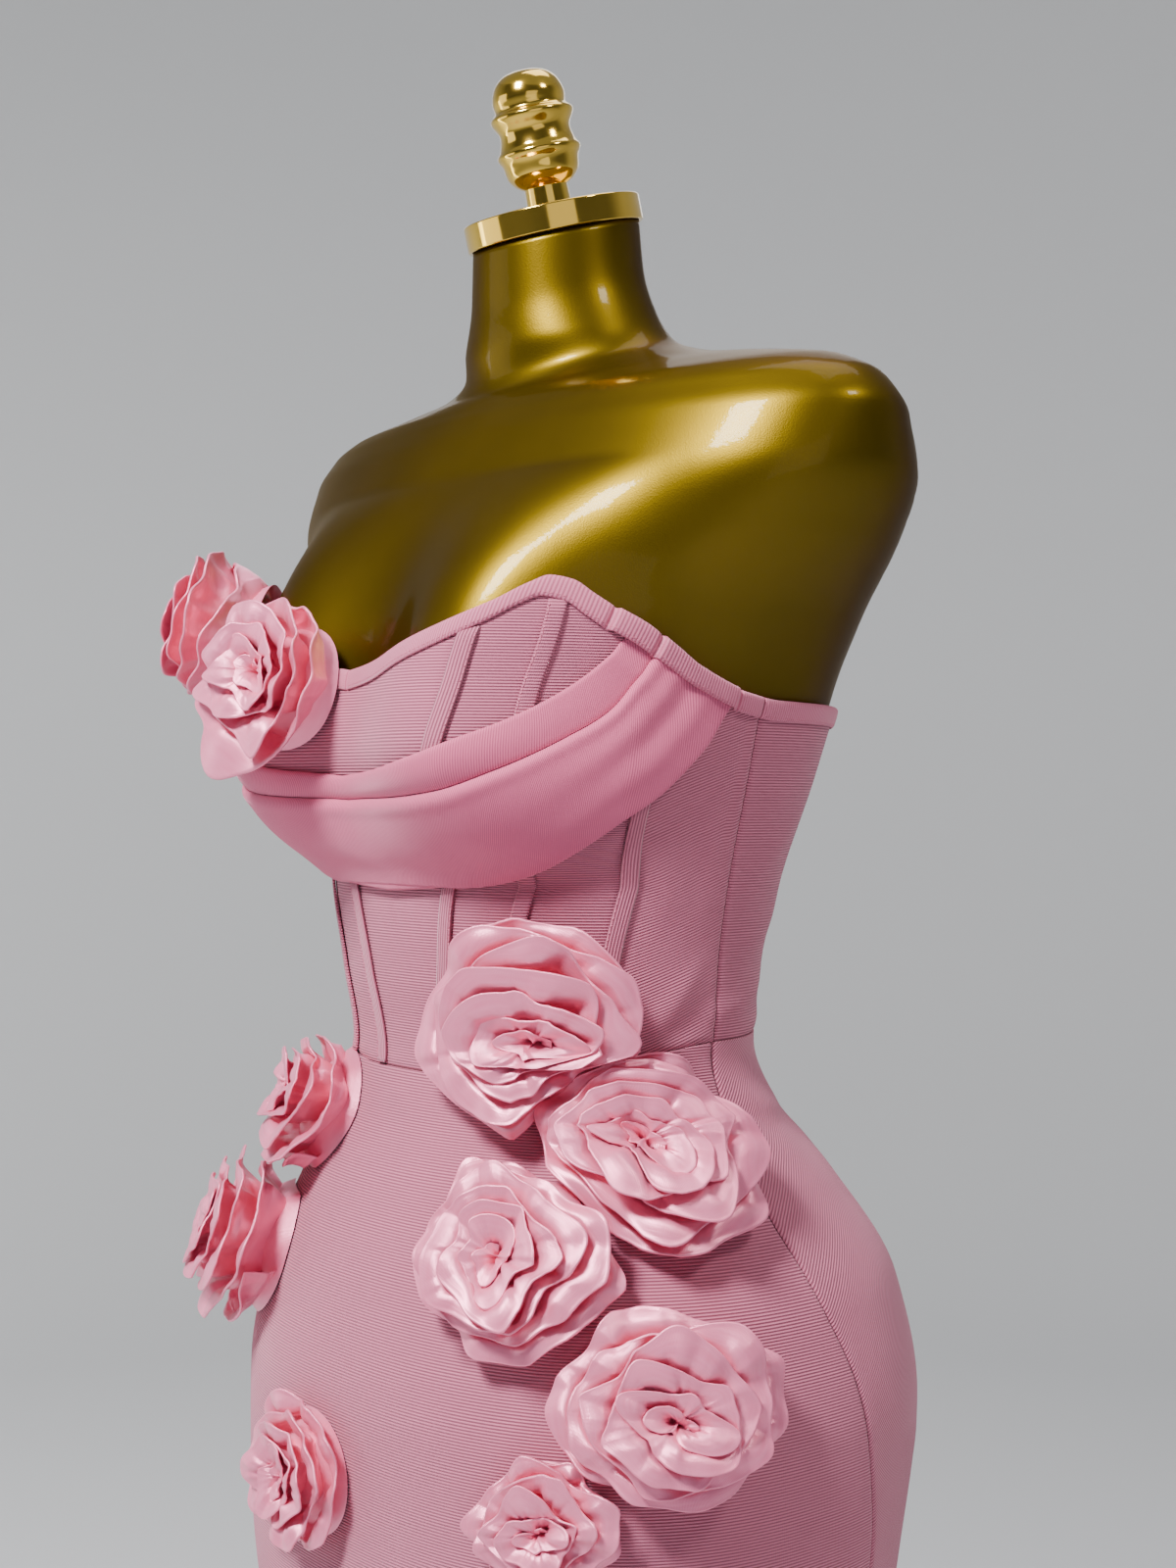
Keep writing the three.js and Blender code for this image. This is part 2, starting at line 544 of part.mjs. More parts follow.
// The zip's coil in the centre back opening, and its slider with two ears and a pin.
const SLIDER = { z: 1219, width: 7, height: 10, wall: 2, ear: 1, earApart: 3.6, pin: 0.7, pinOut: 9.9 };
const PULL = { barrel: 1.9, bore: 0.78, width: 5.5, length: 21, wall: 1.4 };

function zip() {
  const rows = 16;
  const top = neckline(180) - BINDING.over;
  const chain = Array.from({ length: rows + 1 }, (_, i) => {
    const z = mix(ZIP.endLine + 1, top - 1, i / rows);
    const half = ZIP.chainHalf / cloth(180, z).round;
    const corner = (turn, out) => offFigure(180 + turn, z, out);
    return [
      corner(-half, ZIP.chainIn),
      corner(half, ZIP.chainIn),
      corner(half, ZIP.chainOut),
      corner(-half, ZIP.chainOut),
    ];
  });
  add(dress, "zip_chain", loft(chain), KNIT);

  const seatOut = ZIP.chainOut + GAP + BINDING.wall;
  const foot = offFigure(180, SLIDER.z, seatOut);
  const away = offFigure(180, SLIDER.z, seatOut + 1).sub(foot);
  const place = (geometry) => {
    geometry.rotateX(-Math.atan2(-away.z, away.y));
    return geometry.translate(foot.x, foot.y, foot.z);
  };
  const box = (x, y, z, width, depth, height) =>
    solid(place(new THREE.BoxGeometry(width, depth, height).translate(x, y, z)));
  const pinY = SLIDER.pinOut - seatOut;
  const earReach = pinY + SLIDER.pin + 0.8;
  let slider = box(0, SLIDER.wall / 2, 0, SLIDER.width, SLIDER.wall, SLIDER.height);
  for (const sign of [-1, 1]) {
    const x = (sign * (SLIDER.earApart + SLIDER.ear)) / 2;
    slider = slider.add(box(x, earReach / 2, 0, SLIDER.ear, earReach, 3.4));
  }
  const pin = new THREE.CylinderGeometry(SLIDER.pin, SLIDER.pin, SLIDER.earApart + SLIDER.ear, 12);
  pin.rotateZ(Math.PI / 2).translate(0, pinY, 0);
  add(dress, "zip_slider", geometryOf(slider.add(solid(place(pin)))), GOLD_PLATE);

  // The pull hangs straight down from the pin, and turns about it.
  const pivot = foot.clone().addScaledVector(away, pinY);
  const length = SLIDER.earApart - 2 * GAP;
  const rod = (radius, long) => new THREE.CylinderGeometry(radius, radius, long, 16).rotateZ(Math.PI / 2);
  const outline = new THREE.Shape();
  outline.moveTo(-length / 2, 0);
  outline.lineTo(-PULL.width / 2, -PULL.length * 0.45);
  outline.absarc(0, -PULL.length + PULL.width / 2, PULL.width / 2, Math.PI, 2 * Math.PI, false);
  outline.lineTo(PULL.width / 2, -PULL.length * 0.45);
  outline.lineTo(length / 2, 0);
  const tab = new THREE.ExtrudeGeometry(outline, { depth: PULL.wall, bevelEnabled: false, curveSegments: 8 });
  tab.translate(0, 0, -PULL.wall / 2).rotateX(Math.PI / 2);
  const pull = solid(rod(PULL.barrel, length)).add(solid(tab)).subtract(solid(rod(PULL.bore, length + 2)));
  add(dress, "zip_pull", geometryOf(pull), GOLD_PLATE).position.copy(pivot);
}

// The form: sections from the thigh to the neck, with the bottom and the neck closed flat.
function formTorso() {
  const hidden = [760, 830, 895, 950, 1000, 1040, 1070, 1110, 1147, 1170, 1190, 1208];
  const shown = [1225, 1243, 1262, 1280, 1300, 1322, 1342, 1358, 1370, 1380, 1389, 1397, 1403, 1411, 1425, 1447];
  const front = Array.from({ length: 27 }, (_, i) => mix(-90, 90, i / 26));
  const back = Array.from({ length: 15 }, (_, i) => mix(90, 270, (i + 1) / 16));
  const covered = 1.2; // the form is this much slimmer where the dress covers it
  const rings = [FORM_BOTTOM_Z, ...hidden, ...shown, NECK_TOP.z].map((z) =>
    [...front, ...back].map((angle) => offFigure(angle, z, z < shown[0] ? -covered : 0, FORM_CUP)),
  );
  return loft(rings);
}

// A turned piece from [radius, height] pairs that start and end on its axis.
function turned(profile, segments) {
  return new THREE.LatheGeometry(profile.map(([r, h]) => new THREE.Vector2(r, h)), segments).rotateX(Math.PI / 2);
}

function neckCapAndFinial() {
  const cap = new THREE.Group();
  const top = figure(0, NECK_TOP.z, FORM_CUP).add(figure(180, NECK_TOP.z, FORM_CUP)).multiplyScalar(0.5);
  cap.position.copy(top);
  cap.rotation.x = NECK_TOP.tilt * DEGREE;
  stand.add(cap);
  const edge = 1;
  add(cap, "neck_cap", turned([
    [0, GAP],
    [CAP.radius - edge, GAP],
    [CAP.radius, GAP + edge],
    [CAP.radius, CAP.height - edge],
    [CAP.radius - edge, CAP.height],
    [0, CAP.height],
  ], 36), GOLD_PLATE);
  const foot = CAP.height + GAP;
  add(cap, "finial", turned([
    [0, 0], [13, 0], [11.4, 2], [11, 12], [14.5, 14], [18.4, 19], [19.5, 25], [21.5, 29.3], [19.5, 32.5],
    [18, 39.7], [21.3, 47.8], [18, 51.5], [18.6, 56], [16.8, 62.5], [12, 67.8], [6, 70], [0, 70.5],
  ].map(([r, h]) => [r, h + foot]), 18), GOLD_PLATE);
}

function poleAndBase() {
  const { radius, collarRadius, flangeRadius, flangeWall, collarHeight } = POLE;
  const flangeTop = FORM_BOTTOM_Z - GAP;
  const bore = radius + GAP;
  const socket = [
    [bore, flangeTop - collarHeight],
    [collarRadius, flangeTop - collarHeight],
    [collarRadius, flangeTop - flangeWall],
    [flangeRadius, flangeTop - flangeWall],
    [flangeRadius, flangeTop],
    [bore, flangeTop],
    [bore, flangeTop - collarHeight],
  ];
  add(stand, "pole_socket", turned(socket, 24), GOLD_PLATE);
  const poleLow = BASE.wall + GAP;
  add(stand, "pole", turned([[0, poleLow], [radius, poleLow], [radius, flangeTop], [0, flangeTop]], 24), GOLD_PLATE);
  const hub = radius + GAP;
  const base = [
    [0, 0],
    [BASE.radius, 0],
    [BASE.radius, BASE.wall * 0.5],
    [BASE.radius - 4, BASE.wall],
    [BASE.hubRadius, BASE.wall],
    [BASE.hubRadius - 8, BASE.hubHeight],
    [hub, BASE.hubHeight],
    [hub, BASE.wall],
    [0, BASE.wall],
  ];
  add(stand, "base_plate", turned(base, 40), GOLD_PLATE);
}

add(stand, "form_torso", formTorso(), GOLD_PAINT);
neckCapAndFinial();
poleAndBase();
bodicePanels();
skirtPanels();
bindings();
casings();
swag();
zip();
for (const row of ROSES) add(dress, row.name, rose(row), SATIN);

const part = new THREE.Group();
part.add(stand, dress);
export default part;
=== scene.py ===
"""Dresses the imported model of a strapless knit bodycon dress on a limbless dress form.

Shapes are worked out in millimetres on the figure's own sections and laid in metres.
+X is the wearer's left, -Y the front and +Z up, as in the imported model.
"""

from __future__ import annotations

import logging
import math
import random
from collections.abc import Callable, Sequence
from dataclasses import dataclass
from enum import Enum

import bmesh
import bpy
import numpy as np
from mathutils import Matrix, Vector

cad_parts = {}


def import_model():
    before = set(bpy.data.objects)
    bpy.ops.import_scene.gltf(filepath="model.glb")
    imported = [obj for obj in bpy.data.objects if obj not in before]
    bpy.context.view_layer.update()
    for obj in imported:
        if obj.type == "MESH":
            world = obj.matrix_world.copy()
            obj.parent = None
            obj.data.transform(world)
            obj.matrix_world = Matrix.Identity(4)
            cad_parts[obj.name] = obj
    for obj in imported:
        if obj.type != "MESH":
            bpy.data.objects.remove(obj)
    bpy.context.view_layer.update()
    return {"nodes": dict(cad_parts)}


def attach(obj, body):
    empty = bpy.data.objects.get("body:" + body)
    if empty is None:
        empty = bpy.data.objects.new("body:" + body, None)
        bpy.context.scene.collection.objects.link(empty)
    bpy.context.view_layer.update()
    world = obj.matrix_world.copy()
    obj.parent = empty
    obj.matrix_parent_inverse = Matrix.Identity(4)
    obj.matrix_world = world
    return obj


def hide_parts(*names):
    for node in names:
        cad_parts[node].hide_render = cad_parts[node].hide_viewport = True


MM = 0.001
Array = np.ndarray
Line = Callable[[Array], Array]
Place = Callable[[Array, Array], tuple[Array, Array]]
Socket = bpy.types.NodeSocket
DRESS_BODY = "dress_and_form"
TORSO = "form_torso_lacquered"
VIEW_AZIMUTH = 50
log = logging.getLogger("dress")


class Slot(Enum):
    """The record's material slots, one passed with each new piece."""

    KNIT = "knit"
    SATIN = "satin"
    ZIP_TAPE = "zip_tape"
    FORM_PAINT = "form_paint"
    GOLD_PLATE = "gold_plate"


class Hand(Enum):
    """The wearer's two sides, with the sign of X and of the angle round the figure."""

    LEFT = 1
    RIGHT = -1

    @property
    def word(self) -> str:
        """The side's name as it ends a piece's name."""
        return self.name.lower()


class Grain(Enum):
    """How far the knit's ribs are turned from level, in degrees."""

    LEVEL = 0
    UPRIGHT = 90
    SLANTED_LEFT = -20
    SLANTED_RIGHT = 20
    STEEP_LEFT = -38
    STEEP_RIGHT = 38


# Sizes of the making, in millimetres
GAP = 0.3
EASE = 1.6
CLOTH = 1.8
OUTSIDE = EASE + CLOTH
HEM_Z = 480
FORM_BOTTOM_Z = 690
COVERED = 1.2
DRESS_TOP_Z = 1225
SEAM_HALF = 2.0
ZIP_END_Z = 900
MID_BODICE_Z = 1100.0
TOUCH = 0.002

# The knit's cut width for each millimetre that it covers
STRETCH = 0.92

# The figure's level sections: z, half width, y of the front, y of the back, y of the widest line,
# how square the front and the back halves are (2 is an ellipse), and the tilt in degrees.
SECTIONS = (
    (470, 121, -88, 100, 8, 2.3, 2.2, 0),
    (560, 128, -95, 109, 10, 2.3, 2.2, 0),
    (650, 141, -105, 124, 14, 2.4, 2.2, 0),
    (740, 157, -116, 142, 17, 2.5, 2.2, 0),
    (820, 170, -122, 159, 19, 2.6, 2.2, 0),
    (895, 175, -123, 172, 20, 2.5, 2.2, 0),
    (950, 166, -115, 162, 18, 2.4, 2.2, 0),
    (1000, 141, -100, 130, 11, 2.3, 2.2, 0),
    (1035, 120, -87, 99, 4, 2.2, 2.2, 0),
    (1068, 111, -81, 86, 0, 2.2, 2.2, 0),
    (1105, 113, -85, 88, 0, 2.3, 2.3, 0),
    (1147, 120, -89, 96, 2, 2.3, 2.4, 0),
    (1200, 132, -88, 113, 7, 2.3, 2.5, 0),
    (1240, 142, -85, 124, 11, 2.2, 2.5, 0),
    (1275, 160, -82, 128, 15, 2.3, 2.5, 0),
    (1310, 190, -75, 126, 19, 2.3, 2.4, 0),
    (1340, 208, -67, 116, 21, 2.2, 2.3, 0),
    (1362, 209, -58, 105, 21, 2.1, 2.2, 0),
    (1378, 200, -51, 96, 20, 2.0, 2.1, 3),
    (1389, 178, -46, 86, 19, 2.0, 2.0, 7),
    (1397, 134, -43, 76, 17, 1.75, 2.0, 11),
    (1403, 88, -38, 69, 15, 1.65, 2.0, 13),
    (1411, 63, -37, 64, 13, 1.75, 2.0, 14),
    (1425, 53, -38, 58, 10, 2.0, 2.0, 14),
    (1447, 46, -37, 52, 8, 2.0, 2.0, 15),
    (1474, 43.5, -37, 50, 6.5, 2.0, 2.0, 15),
)
# Bodice seams: z, then the angle of the inner, cup, underarm and side seam.
BODICE_SEAMS = (
    (1050, 15, 39, 65, 94.7),
    (1100, 19.8, 41.5, 65.7, 95.5),
    (1147, 24, 46.5, 68.5, 94.2),
    (1180, 35.5, 52.5, 72.5, 93.2),
    (1215, 45.3, 57.2, 75, 92),
    (1245, 47.3, 57.6, 76, 91.2),
    (1292, 47.3, 55.6, 76, 91.2),
)
# Skirt side seam: z, angle.
SKIRT_SEAM = (
    (470, 102.5),
    (834, 102.5),
    (877, 100.4),
    (922, 97.3),
    (963, 92.6),
    (1002, 90.4),
    (1047, 93.8),
    (1080, 94.7),
)
# Neckline: angle, z.
NECKLINE = (
    (0, 1247.5),
    (18, 1251.5),
    (31, 1257.5),
    (42, 1265),
    (49, 1274.5),
    (52.5, 1282.5),
    (54.5, 1286),
    (57, 1284.5),
    (60, 1278.5),
    (63.5, 1271.5),
    (68, 1264),
    (72, 1256),
    (77, 1247),
    (87, 1237),
    (96, 1234),
    (120, 1233),
    (180, 1231),
)
# Swag: share from the centre front, then angle and z of its top, its fold and its lower edge.
SWAG = (
    (0, 0, 1200, 0, 1190, 0, 1143.5),
    (0.2, 24, 1203, 26, 1192, 20, 1145.5),
    (0.4, 42, 1209, 44.4, 1195.5, 38, 1151),
    (0.55, 52, 1217.5, 55, 1203, 52, 1158.5),
    (0.7, 58.8, 1229, 62.7, 1215, 64, 1170.5),
    (0.85, 63, 1242, 67.4, 1228.5, 74.4, 1188.5),
    (0.95, 64.8, 1252.5, 69.2, 1243, 80.5, 1210),
    (1, 65.5, 1257.5, 70, 1249, 84.5, 1228.5),
)


def linear(colour: str) -> tuple[float, float, float, float]:
    """Turns an sRGB hex colour to linear light.

    Args:
        colour: Six hex digits after a hash.

    Returns:
        Red, green, blue and an alpha of 1.
    """
    parts = [int(colour[i : i + 2], 16) / 255 for i in (1, 3, 5)]
    light = [c / 12.92 if c <= 0.04045 else ((c + 0.055) / 1.055) ** 2.4 for c in parts]
    return (*light, 1.0)


def smooth(low: float, high: float, at: Array) -> Array:
    """A soft step from 0 at low to 1 at high."""
    s = np.clip((np.asarray(at, float) - low) / (high - low), 0, 1)
    return s * s * (3 - 2 * s)


def mix(a: Array, b: Array, share: Array) -> Array:
    """The value at a share of the way from a to b."""
    return a + (b - a) * share


def bell(away: Array, width: float) -> Array:
    """A bump of height 1 that fades out with the distance away from its middle."""
    return np.exp(-((away / width) ** 2))


def roll_in(over: Array, radius: float) -> Array:
    """How far a rolled edge turns in, at a share of the way over its roll."""
    return radius * (1 - np.sqrt(np.maximum(1 - over**2, 0)))


class Curve:
    """A smooth curve through a table's column, with no overshoot between its rows."""

    def __init__(self, x: Sequence[float], y: Sequence[float]) -> None:
        """Works out the slope at each row.

        Args:
            x: Where each row stands, rising.
            y: The value there.
        """
        self.x = np.array(x, float)
        self.y = np.array(y, float)
        rise = np.diff(self.y) / np.diff(self.x)
        before, after = rise[:-1], rise[1:]
        turns = before * after <= 0
        inner = np.where(turns, 0.0, 2 * before * after / np.where(turns, 1.0, before + after))
        self.slope = np.concatenate([rise[:1], inner, rise[-1:]])

    def __call__(self, at: Array) -> Array:
        """The curve's value at each place."""
        p = np.clip(np.asarray(at, float), self.x[0], self.x[-1])
        i = np.clip(np.searchsorted(self.x, p, side="left") - 1, 0, len(self.x) - 2)
        width = self.x[i + 1] - self.x[i]
        s = (p - self.x[i]) / width
        return (
            self.y[i] * (1 + 2 * s) * (1 - s) ** 2
            + self.slope[i] * width * s * (1 - s) ** 2
            + self.y[i + 1] * s * s * (3 - 2 * s)
            + self.slope[i + 1] * width * s * s * (s - 1)
        )


def curves(rows: Sequence[Sequence[float]]) -> list[Curve]:
    """One curve for each column of a table after its first."""
    table = np.array(rows, float).T
    return [Curve(table[0], column) for column in table[1:]]


@dataclass(frozen=True)
class Cup:
    """How far a cup stands out and how much shallower it is at the centre front."""

    rise: float
    valley: float
    centre_x: float = 80
    centre_z: float = 1215
    reach_out: float = 74
    reach_up: float = 128
    reach_down: float = 68
    power_up: float = 0.85
    power_down: float = 1.45

    def height(self, x: Array, z: Array) -> Array:
        """How far the cup stands in front of the section at each place."""
        across = np.abs(x) - self.centre_x
        outward = np.minimum(across / self.reach_out, 1)
        inward = np.cos(np.abs(x) / self.centre_x * math.pi / 2) ** 2
        wide = np.where(across > 0, np.cos(outward * math.pi / 2) ** 2, 1 - self.valley * inward)
        above = z > self.centre_z
        climb = (z - self.centre_z) / np.where(above, self.reach_up, self.reach_down)
        power = np.where(above, self.power_up, self.power_down)
        bell = np.maximum(np.cos(np.clip(climb, -1, 1) * math.pi / 2), 0) ** power
        return np.where(np.abs(climb) < 1, self.rise * wide * bell, 0)


CLOTH_CUP = Cup(rise=55, valley=0.4)
FORM_CUP = Cup(rise=53, valley=0.52)


class Figure:
    """The general figure that the dress is cut for."""

    def __init__(self) -> None:
        """Lays curves through the sections."""
        names = ("half", "front", "back", "mid", "square_front", "square_back", "tilt")
        self.section = dict(zip(names, curves(SECTIONS)))

    def point(self, angle: Array, z: Array, cup: Cup = CLOTH_CUP) -> Array:
        """Points on the figure.

        Args:
            angle: Degrees round from the centre front towards the left side.
            z: Heights in millimetres.
            cup: The cup that stands in front.

        Returns:
            One row of x, y and z for each angle and height.
        """
        angle, z = np.broadcast_arrays(np.asarray(angle, float), np.asarray(z, float))
        of = self.section
        side, forward = np.sin(np.radians(angle)), np.cos(np.radians(angle))
        mid, half = of["mid"](z), of["half"](z)
        ahead = forward > 0
        depth = np.where(ahead, mid - of["front"](z), of["back"](z) - mid)
        square = np.where(ahead, of["square_front"](z), of["square_back"](z))
        reach = (np.abs(side / half) ** square + np.abs(forward / depth) ** square) ** (-1 / square)
        x = reach * side
        bust = np.where(ahead, cup.height(x, z) * np.minimum(1, 3 * forward), 0)
        out = -reach * forward - bust
        tilt = np.radians(of["tilt"](z))
        return np.stack([x, mid + out * np.cos(tilt), z + out * np.sin(tilt)], axis=-1)

    def off(self, angle: Array, z: Array, out: Array, cup: Cup = CLOTH_CUP) -> Array:
        """Points at a distance out from the figure, square to it.

        Args:
            angle: Degrees round from the centre front.
            z: Heights in millimetres.
            out: Distances out, in millimetres.
            cup: The cup that stands in front.

        Returns:
            One row of x, y and z for each place.
        """
        turn, rise = 0.4, 1.5
        about = self.point(angle + turn, z, cup) - self.point(angle - turn, z, cup)
        up = self.point(angle, z + rise, cup) - self.point(angle, z - rise, cup)
        square = np.cross(about, up)
        square /= np.linalg.norm(square, axis=-1, keepdims=True)
        return self.point(angle, z, cup) + square * np.asarray(out, float)[..., None]

    def outward(self, angle: Array, z: Array) -> Array:
        """The way straight out of the figure at each place, as rows of length 1."""
        reach = 10.0
        way = self.off(angle, z, np.full(angle.shape, reach)) - self.off(angle, z, np.zeros(angle.shape))
        return way / np.linalg.norm(way, axis=1, keepdims=True)

    def about(self, angle: Array, z: Array) -> Array:
        """Millimetres round the figure for each degree."""
        return np.linalg.norm(self.point(angle + 1, z) - self.point(angle - 1, z), axis=-1) / 2

    def climb(self, angle: Array, z: Array) -> Array:
        """Millimetres up the cloth for each millimetre of height."""
        return np.linalg.norm(self.point(angle, z + 5) - self.point(angle, z - 5), axis=-1) / 10


FIGURE = Figure()
INNER, CUP_SEAM, UNDERARM, SIDE = curves(BODICE_SEAMS)
SKIRT_SIDE = curves(SKIRT_SEAM)[0]
NECK_CURVE = curves(NECKLINE)[0]


def neckline(angle: Array) -> Array:
    """The dress's top edge at each angle, alike on both sides."""
    return NECK_CURVE(np.abs(angle))


def waist_seam(angle: Array) -> Array:
    """The waist seam, which dips a little from the sides to the front."""
    return mix(1056, 1073, smooth(25, 100, np.abs(angle)))


def mirrored(line: Line) -> Line:
    """A seam's line on the other side of the dress."""
    return lambda z: -line(z)


def steady(angle: float) -> Line:
    """A line that keeps one angle at every height."""
    return lambda z: np.full(np.shape(z), float(angle))


@dataclass(frozen=True)
class Crease:
    """A soft trough or ridge in the cloth between two places on the figure."""

    start: tuple[float, float]
    end: tuple[float, float]
    width: float
    depth: float

    def lift(self, angle: Array, z: Array) -> Array:
        """How far the crease lifts the cloth at each place, in millimetres."""
        middle = (self.start[0] + self.end[0]) / 2, (self.start[1] + self.end[1]) / 2
        scale = float(FIGURE.about(np.array(middle[0]), np.array(middle[1])))
        run = (self.end[0] - self.start[0]) * scale, self.end[1] - self.start[1]
        long = math.hypot(*run)
        x, y = (angle - self.start[0]) * scale, z - self.start[1]
        along = (x * run[0] + y * run[1]) / long**2
        across = (x * run[1] - y * run[0]) / long
        bow = across - 0.06 * long * np.sin(np.clip(along, 0, 1) * math.pi)
        fade = np.sin(np.clip(along, 0, 1) * math.pi) ** 1.3
        return self.depth * fade * bell(bow, self.width)


# Creases: from and to (angle, z), then half width and height, both in millimetres
CREASES = (
    Crease((66, 1068), (92, 1118), 6, 1.5),
    Crease((72, 1066), (97, 1102), 4.5, -0.9),
    Crease((78, 1124), (70, 1176), 7, 1.1),
    Crease((86, 1132), (79, 1192), 5, -0.8),
    Crease((88, 1085), (124, 1104), 6, 1.6),
    Crease((96, 1076), (131, 1088), 4.5, 1.3),
    Crease((100, 1118), (128, 1142), 8, 1.2),
    Crease((99, 1150), (121, 1190), 7, 0.9),
    Crease((132, 1081), (172, 1092), 5.5, 1.4),
    Crease((138, 1100), (170, 1112), 7, 1.2),
    Crease((-64, 1070), (-94, 1112), 6, 1.4),
    Crease((-74, 1130), (-84, 1182), 6, 1.0),
    Crease((-90, 1082), (-128, 1099), 6.5, 1.6),
    Crease((-99, 1122), (-126, 1151), 8, 1.2),
    Crease((-134, 1079), (-171, 1089), 5, 1.5),
    Crease((-128, 1106), (-168, 1119), 7, 1.1),
    Crease((92, 1049), (128, 1037), 6.5, 1.6),
    Crease((86, 1034), (118, 1018), 8, 1.3),
    Crease((128, 1050), (168, 1040), 6, 1.7),
    Crease((122, 1028), (160, 1012), 9, 1.3),
    Crease((-88, 1048), (-124, 1034), 6.5, 1.6),
    Crease((-84, 1030), (-112, 1012), 8, 1.2),
    Crease((-126, 1051), (-166, 1042), 6, 1.6),
    Crease((-120, 1026), (-156, 1009), 9, 1.2),
    Crease((-14, 1049), (9, 1043), 6, 0.9),
    Crease((20, 1046), (38, 1033), 6, 0.8),
    Crease((104, 906), (124, 872), 10, 1.3),
    Crease((-103, 900), (-121, 868), 10, 1.2),
    Crease((142, 838), (176, 822), 12, 1.3),
    Crease((-140, 832), (-174, 818), 12, 1.2),
    Crease((62, 742), (92, 724), 12, 1.1),
    Crease((-66, 730), (-94, 716), 12, 1.1),
    Crease((96, 640), (110, 560), 10, 1.2),
    Crease((-97, 650), (-112, 566), 10, 1.2),
    Crease((20, 560), (44, 530), 11, 0.9),
    Crease((152, 610), (172, 548), 12, 1.2),
    Crease((-150, 600), (-170, 540), 12, 1.2),
)


def creased(angle: Array, z: Array) -> Array:
    """The lift of all the creases together."""
    return sum(crease.lift(angle, z) for crease in CREASES)


class Graph:
    """One material's node tree, built towards its shader."""

    def __init__(self, name: str) -> None:
        """Starts a material that has only its shader and its output.

        Args:
            name: The material's name.
        """
        self.material = bpy.data.materials.new(name)
        self.material.use_nodes = True
        self.tree = self.material.node_tree
        self.tree.nodes.clear()
        self.shader = self.add("BsdfPrincipled")
        self.add("OutputMaterial", {"Surface": self.shader.outputs["BSDF"]})

    def feed(self, node: bpy.types.Node, name: str | int, value: Socket | float | tuple) -> None:
        """Links an outgoing socket to a node's input, or sets the input to a value."""
        if isinstance(value, bpy.types.NodeSocket):
            self.tree.links.new(value, node.inputs[name])
        else:
            node.inputs[name].default_value = value

    def add(self, kind: str, settings: dict | None = None) -> bpy.types.Node:
        """Adds one node.

        Args:
            kind: The node's type, without the word ShaderNode.
            settings: Values by property name, and values or outgoing sockets by input name or number.

        Returns:
            The new node.
        """
        node = self.tree.nodes.new(f"ShaderNode{kind}")
        for name, value in (settings or {}).items():
            if isinstance(name, str) and hasattr(node, name):
                setattr(node, name, value)
            else:
                self.feed(node, name, value)
        return node

    def place(self, kind: str) -> Socket:
        """The place on the piece: on its flat cut for UV, in space for Object."""
        return self.add("TexCoord").outputs[kind]

    def mapped(self, at: Socket, name: str, value: tuple[float, float, float]) -> Socket:
        """A place after a Rotation or a Scale."""
        return self.add("Mapping", {name: value, "Vector": at}).outputs["Vector"]

    def noise(self, at: Socket, scale: float, detail: float = 2.0) -> Socket:
        """A cloudy pattern from 0 to 1."""
        return self.add("TexNoise", {"Scale": scale, "Detail": detail, "Vector": at}).outputs["Fac"]

    def wave(self, at: Socket, direction: str, pitch: float) -> Socket:
        """Even bands along X or Y, one each pitch millimetres."""
        bands = {"bands_direction": direction, "Scale": 2 * math.pi / (20 * pitch * MM), "Vector": at}
        return self.add("TexWave", bands).outputs["Fac"]

    def share_added(self, value: Socket, share: float, base: Socket) -> Socket:
        """A share of a value added to a base."""
        return self.add("Math", {"operation": "MULTIPLY_ADD", 0: value, 1: share, 2: base}).outputs[0]

    def ranged(self, value: Socket, low: float, high: float, settings: dict | None = None) -> Socket:
        """A value from 0 to 1 brought between low and high, or from the range in settings."""
        limits = {"To Min": low, "To Max": high, "Value": value}
        return self.add("MapRange", {**(settings or {}), **limits}).outputs[0]

    def bump(self, height: Socket, strength: float, depth: float) -> Socket:
        """A surface that height raises by up to depth millimetres."""
        return self.add("Bump", {"Strength": strength, "Distance": depth * MM, "Height": height}).outputs[0]

    def blend(self, share: Socket, low: str, high: str) -> Socket:
        """A colour between two sRGB colours."""
        return self.add("Mix", {"data_type": "RGBA", 0: share, 6: linear(low), 7: linear(high)}).outputs[2]

    def toned(self, colour: Socket | tuple, tone: Socket) -> Socket:
        """A colour made a little darker or lighter by a tone near 1."""
        multiply = {"data_type": "RGBA", "blend_type": "MULTIPLY", 0: 1.0, 6: colour, 7: tone}
        return self.add("Mix", multiply).outputs[2]

    def finished(self, inputs: dict) -> bpy.types.Material:
        """Sets the shader's inputs.

        Args:
            inputs: Values or outgoing sockets by the input's name.

        Returns:
            The material.
        """
        for name, value in inputs.items():
            self.feed(self.shader, name, value)
        return self.material


